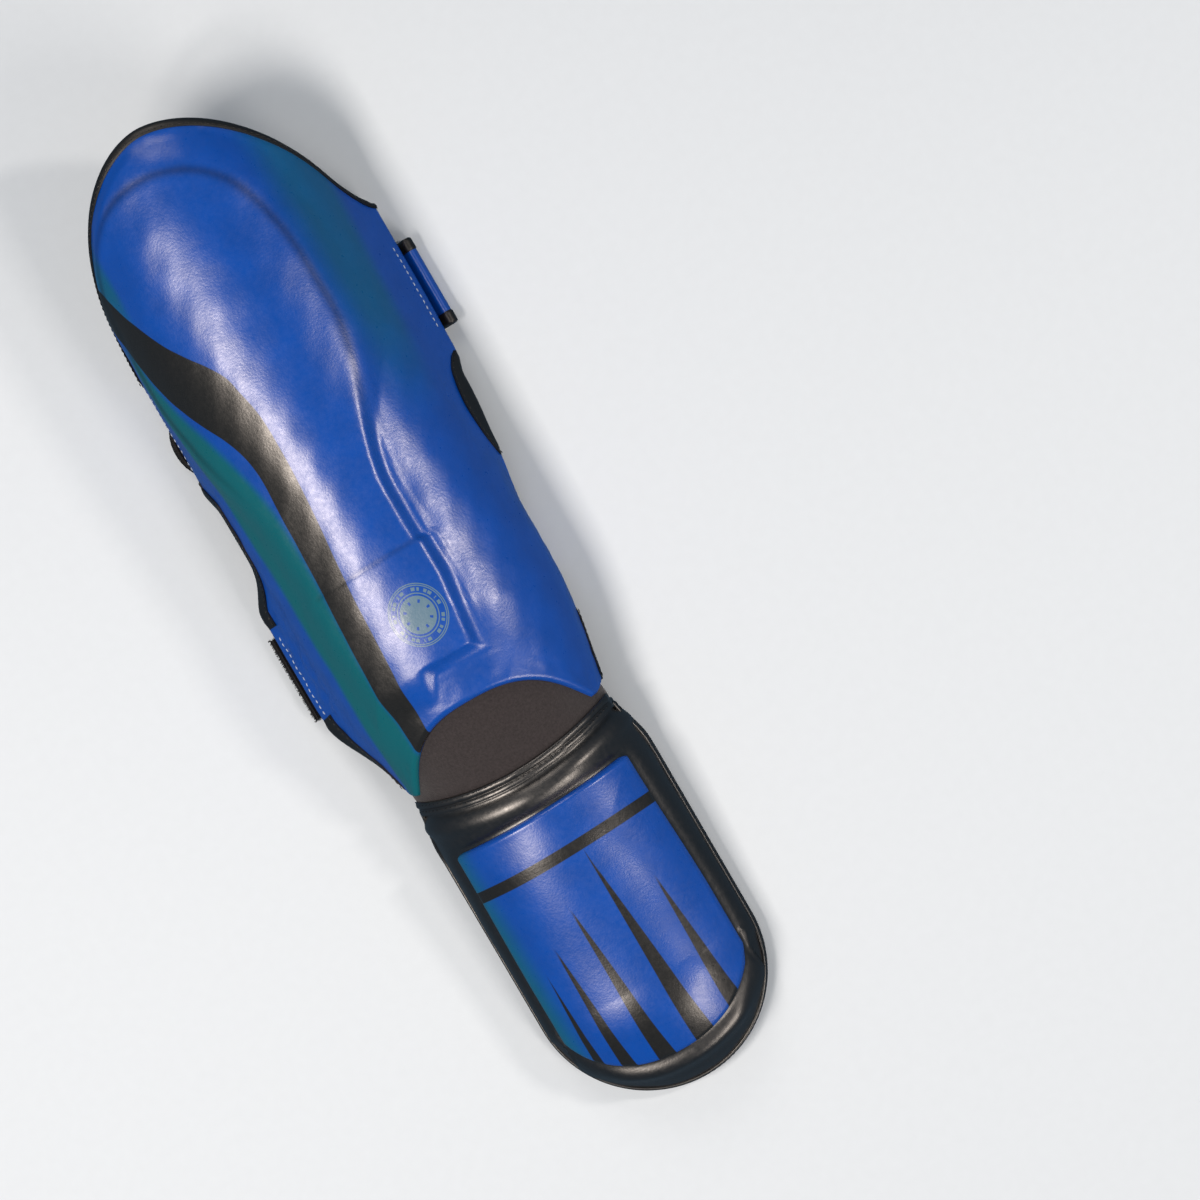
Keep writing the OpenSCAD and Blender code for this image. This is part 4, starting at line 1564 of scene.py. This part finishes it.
class GUARD_OT_instep_panel(bpy.types.Operator):
    """Raised leather panel of the instep, with its bar and tapers"""

    bl_idname = "guard.instep_panel"
    bl_label = "Instep panel"

    def execute(self, context):
        u = (2 * crowded(150) - 1)[None, :]
        k = crowded(190)[:, None]
        x0 = u * PANEL_HALF_WIDTH
        corner = 1.6 * smooth(0.93, 1.0, np.abs(u))
        y = mix(panel_end(x0) + corner, PANEL_TOP_Y + 1.5 * u + 1.4 * u**2 - corner, k)
        x = u * panel_half_width(y)
        inside = np.maximum(0, panel_distance(x, y))
        inside[[0, -1]] = 0
        inside[:, [0, -1]] = 0
        rise = millimetres("panel_rise") * np.sqrt(1 - (1 - np.clip(inside / 3.2, 0, 1)) ** 2)
        crown = (0.9 * smooth(2, 24, inside) + 0.25 * waves(x, y, 38, 51)) * smooth(0, 6, inside)
        outer = instep_over(x, y, -(rise + crown) + 0.4)
        inner = instep_over(x, y, 0.4 + 0 * x)
        points, faces, carry = pillow(outer, inner)
        fields = {
            "stripe": carry(stripe_distance(x, y)),
            "tapers": carry(tapers_distance(x, y)),
            # painted reflection: green along the panel's left edge
            "painted_reflection": carry(0.8 * smooth(-36, -50, x) * (1 + 0 * y)),
        }
        piece = new_piece(
            "instep_panel_leather", "instep", points, faces, material("panel_polyurethane_leather"), fields
        )
        keep(piece, "blue_leather", "instep_panel", "instep_panel_foam")
        return {"FINISHED"}


class GUARD_OT_instep_binding(bpy.types.Operator):
    """Folded tape and a welt round the instep's open edge, with its stitches"""

    bl_idname = "guard.instep_binding"
    bl_label = "Instep binding"

    def execute(self, context):
        per_degree = INSTEP_HEIGHT * np.pi / 180
        start = instep_start(1.0)
        straight = np.linspace(start - 3, TOE_CENTRE_Y, 70)[:-1]
        turn = np.concatenate([np.full(69, -90.0), np.linspace(-90, 90, 120), np.full(69, 90.0)])
        side_y = np.concatenate([straight, np.full(120, TOE_CENTRE_Y), straight[::-1]])
        marks = np.arange(len(turn), dtype=float)

        def at(mark, inset, depth):
            """The instep's surface from a place along its edge and a distance in from it."""
            return instep_surface(
                np.interp(mark, marks, side_y),
                np.interp(mark, marks, turn),
                EDGE_ANGLE - inset / per_degree,
                depth,
            )

        lap, thickness = millimetres("side_lap") - 1.2, millimetres("binding_t")
        path = (np.stack([marks, 0 * marks], 1), np.broadcast_to(np.array([0.0, 1.0]), (len(marks), 2)))
        body = bound_edge(at, path, lap, INSTEP_RIM, INSTEP_EDGE_DEPTH, thickness)
        tape = new_piece("instep_binding_tape", "instep", *body, material("folded_binding_tape"), sharp=60)
        keep(tape, "binding_tape", "instep_binding")
        welt = cord_along(at(marks, lap + 1.1, -0.35), 1.0)
        cord = new_piece("instep_welt", "instep", *welt, material("black_polyurethane_leather"), sharp=70)
        keep(cord, "black_leather")
        rows = [
            sewn(
                at(marks, lap - 1.3, -thickness),
                at(marks, lap - 1.3, -thickness - 1),
                millimetres("stitch_pitch")
            ),
            sewn(
                at(marks, lap - 1.3, INSTEP_EDGE_DEPTH + thickness),
                at(marks, lap - 1.3, INSTEP_EDGE_DEPTH + thickness + 1),
                millimetres("stitch_pitch"),
            ),
        ]
        thread = new_piece(
            "instep_binding_thread", "instep", *joined(rows), material("dark_polyester_thread")
        )
        keep(thread, "dark_thread")
        return {"FINISHED"}


class GUARD_OT_foot_elastics(bpy.types.Operator):
    """Elastics under the foot, sewn inside both edges of the instep"""

    bl_idname = "guard.foot_elastics"
    bl_label = "Foot elastics"

    def execute(self, context):
        half = np.array([[42, 15], [48.5, 7], [49.5, 4], [48, 1.5], [45, STRAP_T / 2]])
        path = rounded_path(
            np.concatenate([half, [[20, STRAP_T / 2], [-20, STRAP_T / 2]], mirrored(half[::-1])]), 150
        )
        path[:, 1] = np.maximum(path[:, 1], STRAP_T / 2)
        for place, y in FOOT_STRAP_Y.items():
            name = "instep_strap_" + place
            reach = FOOT_STRAP_WIDTH / 2
            band_piece(
                name + "_elastic",
                "instep",
                path,
                y - reach,
                y + reach,
                STRAP_T,
                "ribbed_woven_elastic",
                "elastic_webbing",
                (name,)
            )
            rows = []
            for side in (-1, 1):
                line = np.linspace(y - reach + 2, y + reach - 2, 40)
                at = np.stack([np.full(40, side * 44.2), line, np.full(40, 13.6)], 1)
                way = np.array([-side * 0.62, 0, -0.78])
                rows.append(sewn(at + way * 0.8, at + way * 1.8, 3.0))
            keep(
                new_piece(name + "_thread", "instep", *joined(rows), material("dark_polyester_thread")),
                "dark_thread"
            )
        return {"FINISHED"}


# ------------------------------------------------------------ operators: the calf straps
class GUARD_OT_strap_roots(bpy.types.Operator):
    """Leather roots of the calf straps, with their bound edges"""

    bl_idname = "guard.strap_roots"
    bl_label = "Strap roots"

    def execute(self, context):
        bound = 7.0
        for which, y in STRAP_Y.items():
            turned = (
                hairpin(y, 1, STRAP_T / 2, LOOSE[which])
                if which == "upper"
                else tucked(y, 1, STRAP_T / 2, HINGE_X + 1)
            )
            path = rounded_path(turned, 90)
            path[:, 1] = np.maximum(path[:, 1], STRAP_T / 2)
            path = np.concatenate([path, [[HINGE_X + 0.5, STRAP_T / 2]]])
            reach = STRAP_WIDTH / 2
            name = which + "_strap_root"
            band_piece(
                name + "_leather",
                "shin",
                path,
                y - reach + 2,
                y + reach - 2,
                STRAP_T,
                "strap_polyurethane_leather",
                "blue_leather",
                (name,)
            )
            edges, weaves = [], []
            for side in (-1, 1):
                ends = sorted((y + side * reach, y + side * (reach - bound)))
                body, weave = flat_band(path, *ends, STRAP_T + 0.9)
                body[0][:, 2] = np.maximum(body[0][:, 2], 0)
                edges.append(body)
                weaves.append(weave)
            edging = new_piece(
                which + "_strap_bound_edges",
                "shin",
                *joined(edges),
                material("folded_binding_tape"),
                {"weave": np.concatenate(weaves)},
                sharp=50,
            )
            keep(edging, "binding_tape", which + "_strap_edging")
        return {"FINISHED"}


class GUARD_OT_strap_elastics(bpy.types.Operator):
    """Elastic part of each calf strap"""

    bl_idname = "guard.strap_elastics"
    bl_label = "Strap elastics"

    def execute(self, context):
        for which, y in STRAP_Y.items():
            name = which + "_strap_elastic"
            reach = high(name)[1] - y
            path = np.stack([np.linspace(TAB_X, HINGE_X, 60), np.full(60, STRAP_T / 2)], 1)
            band_piece(
                name + "_webbing",
                which + "_strap",
                path,
                y - reach,
                y + reach,
                STRAP_T,
                "ribbed_woven_elastic",
                "elastic_webbing",
                (name,)
            )
            rows = [
                across_stitches(x, STRAP_T, y - reach + 2, y + reach - 2, 2.8)
                for x in (HINGE_X - 4, HINGE_X - 8, TAB_X + 4)
            ]
            keep(
                new_piece(
                    which + "_strap_thread",
                    which + "_strap",
                    *joined(rows),
                    material("dark_polyester_thread")
                ),
                "dark_thread"
            )
        return {"FINISHED"}


class GUARD_OT_hook_tabs(bpy.types.Operator):
    """Touch-tape tabs with their field of hooks"""

    bl_idname = "guard.hook_tabs"
    bl_label = "Hook tabs"

    def execute(self, context):
        for which, y in STRAP_Y.items():
            name = which + "_strap_hook_tab"
            reach, end = high(name)[1] - y, high(name)[0]
            path = np.stack([np.linspace(end, STRAP_END_X, 60), np.full(60, 0.55)], 1)
            band_piece(
                name + "_tape",
                which + "_tab",
                path,
                y - reach,
                y + reach,
                1.1,
                "plain_woven_tape",
                "hook_tape",
                (name,),
                corner=7.0
            )
            x, across = np.meshgrid(
                np.arange(STRAP_END_X + 5, end - 4, 1.5),
                np.arange(-reach + 4, reach - 3.9, 1.5),
                indexing="ij"
            )
            places = np.stack([x.ravel(), y + across.ravel(), np.full(x.size, 1.08)], 1)
            random = np.random.default_rng(61)
            turn = random.uniform(-0.35, 0.35, len(places)) + np.pi * (np.arange(len(places)) % 2)
            forward = np.stack([np.cos(turn), np.sin(turn), 0 * turn], 1)
            up = np.broadcast_to(np.array([0.0, 0.0, 1.0]), forward.shape)
            frames = np.stack([forward, np.cross(up, forward), up], 1)
            bend = np.array([[0, 0], [0, 0.28], [0.1, 0.46], [0.32, 0.5], [0.45, 0.38]])
            thick = np.array([0.17, 0.15, 0.14, 0.12, 0.07])[:, None]
            ring = np.linspace(0, 2 * np.pi, 4, endpoint=False)
            way = along(bend)
            hook = np.stack(
                [
                    bend[:, :1] - way[:, 1:] * np.cos(ring) * thick,
                    np.sin(ring)[None] * thick + 0 * bend[:, :1],
                    bend[:, 1:] + way[:, :1] * np.cos(ring) * thick,
                ],
                -1,
            )
            hooks = repeat(*tube(hook), places, frames)
            keep(
                new_piece(which + "_tab_hooks", which + "_tab", *hooks, material("moulded_nylon_hooks")),
                "hook_tape"
            )
            seam = [across_stitches(end - 2.2, 1.1, y - reach + 2, y + reach - 2, 2.8)]
            keep(
                new_piece(
                    which + "_tab_thread", which + "_tab", *joined(seam), material("dark_polyester_thread")
                ),
                "dark_thread"
            )
        return {"FINISHED"}


class GUARD_OT_loop_tongues(bpy.types.Operator):
    """Touch-tape tongues with their loop pile, inside the left wing"""

    bl_idname = "guard.loop_tongues"
    bl_label = "Loop tongues"

    def execute(self, context):
        low_z = 1.5 * STRAP_T + 0.2
        for which, y in STRAP_Y.items():

            def whole(turned):
                bent = rounded_path(turned, 110)
                bent[:, 1] = np.maximum(bent[:, 1], low_z)
                flat = np.linspace(bent[-1, 0], -TONGUE_END_X, 30)[1:]
                return mirrored(np.concatenate([bent, np.stack([flat, np.full(29, low_z)], 1)]))

            bulged = whole(hairpin(y, -1, low_z, LOOSE["tongue"]))
            hidden = whole(tucked(y, -1, low_z, bulged[109, 0] * -1 - 8))
            path = hidden if which == "upper" else mix(hidden, bulged, 0.75)
            bulge = {}
            if which == "upper":  # only its lower half stands out from the wing, as a round loop
                bulge = {
                    "other": bulged,
                    "share": lambda at: np.sqrt(np.maximum(0, 1 - ((at - y + 10.5) / 16.5) ** 2))
                }
            reach = STRAP_WIDTH / 2 - 1
            name = which + "_loop_tongue"
            band_piece(
                name + "_tape",
                "shin",
                path,
                y - reach,
                y + reach,
                1.1,
                "plain_woven_tape",
                "loop_tape",
                (name,),
                corner=6.0,
                **bulge
            )
            run = np.concatenate([[0], np.cumsum(np.linalg.norm(np.diff(path, axis=0), axis=1))])
            random = np.random.default_rng(71)
            count = 3600
            at = random.uniform(run[109] if which == "upper" else 12, run[-1] - 4, count)
            across = random.uniform(-reach + 0.6, reach - 0.6, count)
            edge = random.random(count) < 0.12
            across = np.where(edge, np.sign(across) * reach, across)
            forward = along(path)
            centre = np.stack([np.interp(at, run, path[:, k]) for k in range(2)], 1)
            way = unit(np.stack([np.interp(at, run, forward[:, k]) for k in range(2)], 1))
            sole = centre[:, 1] < low_z + 1.2
            normal = np.stack([-way[:, 1], 0 * at, way[:, 0]], 1)
            normal *= np.sign(normal[:, :1] * -1 + 1e-9) * np.where(np.abs(normal[:, :1]) > 0.25, 1, 0) + np.where(
                np.abs(normal[:, :1]) > 0.25, 0, -np.sign(normal[:, 2:])
            )
            lean = random.uniform(0, 2 * np.pi, count)
            side_way = np.stack([0 * at, 1 + 0 * at, 0 * at], 1)
            lengthwise = np.stack([way[:, 0], 0 * at, way[:, 1]], 1)
            tilt = 0.9 * (np.cos(lean)[:, None] * side_way + np.sin(lean)[:, None] * lengthwise)
            tilt += np.where(edge, np.sign(across), 0)[:, None] * side_way * 0.9
            up = unit(normal + tilt * 0.7)
            ahead = unit(np.cross(up, side_way + 0.3 * lengthwise))
            frames = np.stack([ahead, np.cross(up, ahead), up], 1)
            places = np.stack([centre[:, 0], y + across, centre[:, 1]], 1) + normal * 0.5
            tall = np.where(sole, 0.55, random.uniform(0.8, 1.3, count))
            frames = frames * tall[:, None, None]
            bend = np.array([[0, 0], [-0.28, 0.55], [0, 0.95], [0.3, 0.6], [0.16, 0.1]])
            ring = np.linspace(0, 2 * np.pi, 3, endpoint=False)
            turn_way = along(bend)
            loop = np.stack(
                [
                    bend[:, :1] - turn_way[:, 1:] * np.cos(ring) * 0.075,
                    np.sin(ring)[None] * 0.075 + 0 * bend[:, :1],
                    bend[:, 1:] + turn_way[:, :1] * np.cos(ring) * 0.075,
                ],
                -1,
            )
            pile = repeat(*tube(loop), places, frames)
            pile[0][:, 2] = np.maximum(pile[0][:, 2], 1.95 * (pile[0][:, 0] > STRAP_END_X - 1) + 0.05)
            keep(new_piece(which + "_tongue_pile", "shin", *pile, material("nylon_loop_pile")), "loop_tape")
        return {"FINISHED"}


# ------------------------------------------------------------ operators: the stage
def soft_light(name, place, aim, width, length, power, tint):
    """A soft box with its length along the guard, placed and aimed in metres."""
    data = bpy.data.lights.new(name, "AREA")
    data.shape, data.size, data.size_y = "RECTANGLE", width, length
    data.energy, data.color = power, tint
    lamp = bpy.data.objects.new(name, data)
    bpy.context.scene.collection.objects.link(lamp)
    back = (Vector(place) - Vector(aim)).normalized()
    right = Vector((0, 1, 0)).cross(back).normalized()
    turned = Matrix((right, back.cross(right), back)).transposed().to_4x4()
    lamp.matrix_world = Matrix.Translation(Vector(place)) @ turned
    return lamp


class GUARD_OT_stage(bpy.types.Operator):
    """Pale floor, two long soft lights and the camera"""

    bl_idname = "guard.stage"
    bl_label = "Stage"

    def execute(self, context):
        reach = 4000.0
        corners = np.array(
            [[-reach, -reach, 0], [reach, -reach, 0], [reach, reach, 0], [-reach, reach, 0]], float
        )
        corners[:, 2] = -0.05
        floor = new_piece("floor", None, corners, [np.array([[0, 1, 2, 3]])], studio_floor("white_paper"))
        floor.visible_glossy = False  # a matt floor that doesn't mirror in the leather's flanks
        warm = (1.0, 0.87, 0.76)
        soft_light("left_soft_light", (-0.70, 0.05, 1.33), (0, 0.03, 0), 0.38, 0.42, 15, warm)
        soft_light("left_low_soft_light", (-0.70, -0.34, 1.30), (0, -0.06, 0), 0.36, 0.16, 5, warm)
        soft_light("right_soft_light", (1.08, -0.10, 1.02), (0, -0.02, 0), 0.18, 0.12, 6.5, warm)
        soft_light("toe_soft_light", (0.72, -1.3, 1.2), (0, -0.2, 0), 0.34, 1.0, 15, warm)
        soft_light("knee_soft_light", (0.15, 1.6, 1.3), (0, 0.1, 0), 0.8, 0.8, 9, warm)
        world = bpy.data.worlds.new("pale_room")
        world.use_nodes = True
        world.node_tree.nodes["Background"].inputs["Color"].default_value = (0.45, 0.72, 1.0, 1)
        world.node_tree.nodes["Background"].inputs["Strength"].default_value = 0.17
        nodes, links = world.node_tree.nodes, world.node_tree.links
        seen = nodes.new("ShaderNodeBackground")
        seen.inputs["Color"].default_value = (0.80, 0.83, 0.86, 1)
        choose, path = nodes.new("ShaderNodeMixShader"), nodes.new("ShaderNodeLightPath")
        links.new(path.outputs["Is Camera Ray"], choose.inputs[0])
        links.new(nodes["Background"].outputs[0], choose.inputs[1])
        links.new(seen.outputs[0], choose.inputs[2])
        links.new(choose.outputs[0], nodes["World Output"].inputs["Surface"])
        context.scene.world = world
        context.scene.view_settings.view_transform = "Standard"
        data = bpy.data.cameras.new("camera")
        data.lens, data.sensor_width, data.clip_start, data.clip_end = 101.5, 36.0, 0.05, 50.0
        camera = bpy.data.objects.new("camera", data)
        context.scene.collection.objects.link(camera)
        place, target = Vector((0.2366, 0.0, 1.6835)), Vector((0.0767, -0.0359, 0.040))
        heading = math.radians(30.17)  # the view's upward direction, from +Y towards +X
        back = (place - target).normalized()
        right = Vector((math.sin(heading), math.cos(heading), 0)).cross(back).normalized()
        turned = Matrix((right, back.cross(right), back)).transposed().to_4x4()
        camera.matrix_world = Matrix.Translation(place) @ turned
        context.scene.camera = camera
        return {"FINISHED"}


PIECES = (
    GUARD_OT_shin_cover,
    GUARD_OT_shin_lining,
    GUARD_OT_shin_bindings,
    GUARD_OT_anchor_threads,
    GUARD_OT_ankle_fabric,
    GUARD_OT_ankle_seam,
    GUARD_OT_instep_cover,
    GUARD_OT_instep_lining,
    GUARD_OT_instep_panel,
    GUARD_OT_instep_binding,
    GUARD_OT_foot_elastics,
    GUARD_OT_strap_roots,
    GUARD_OT_strap_elastics,
    GUARD_OT_hook_tabs,
    GUARD_OT_loop_tongues,
    GUARD_OT_stage,
)


class GUARD_PT_sidebar(bpy.types.Panel):
    """Lists the guard's sizes, colours and pieces"""

    bl_idname = "GUARD_PT_sidebar"
    bl_label = "Shin and instep guard"
    bl_space_type = "VIEW_3D"
    bl_region_type = "UI"
    bl_category = "Guard"

    def draw(self, context):
        for group in (context.scene.guard_sizes, context.scene.guard_colours):
            box = self.layout.box()
            for name in group.__annotations__:
                box.prop(group, name)
        for operator in PIECES:
            self.layout.operator(operator.bl_idname)


CLASSES = (GuardSizes, GuardColours, *PIECES, GUARD_PT_sidebar)


def register():
    for cls in CLASSES:
        bpy.utils.register_class(cls)
    bpy.types.Scene.guard_sizes = PointerProperty(type=GuardSizes)
    bpy.types.Scene.guard_colours = PointerProperty(type=GuardColours)


def unregister():
    del bpy.types.Scene.guard_colours
    del bpy.types.Scene.guard_sizes
    for cls in reversed(CLASSES):
        bpy.utils.unregister_class(cls)


def main():
    """Makes every piece and the stage."""
    register()
    for operator in PIECES:
        group, name = operator.bl_idname.split(".")
        getattr(getattr(bpy.ops, group), name)()


if __name__ == "__main__":
    main()
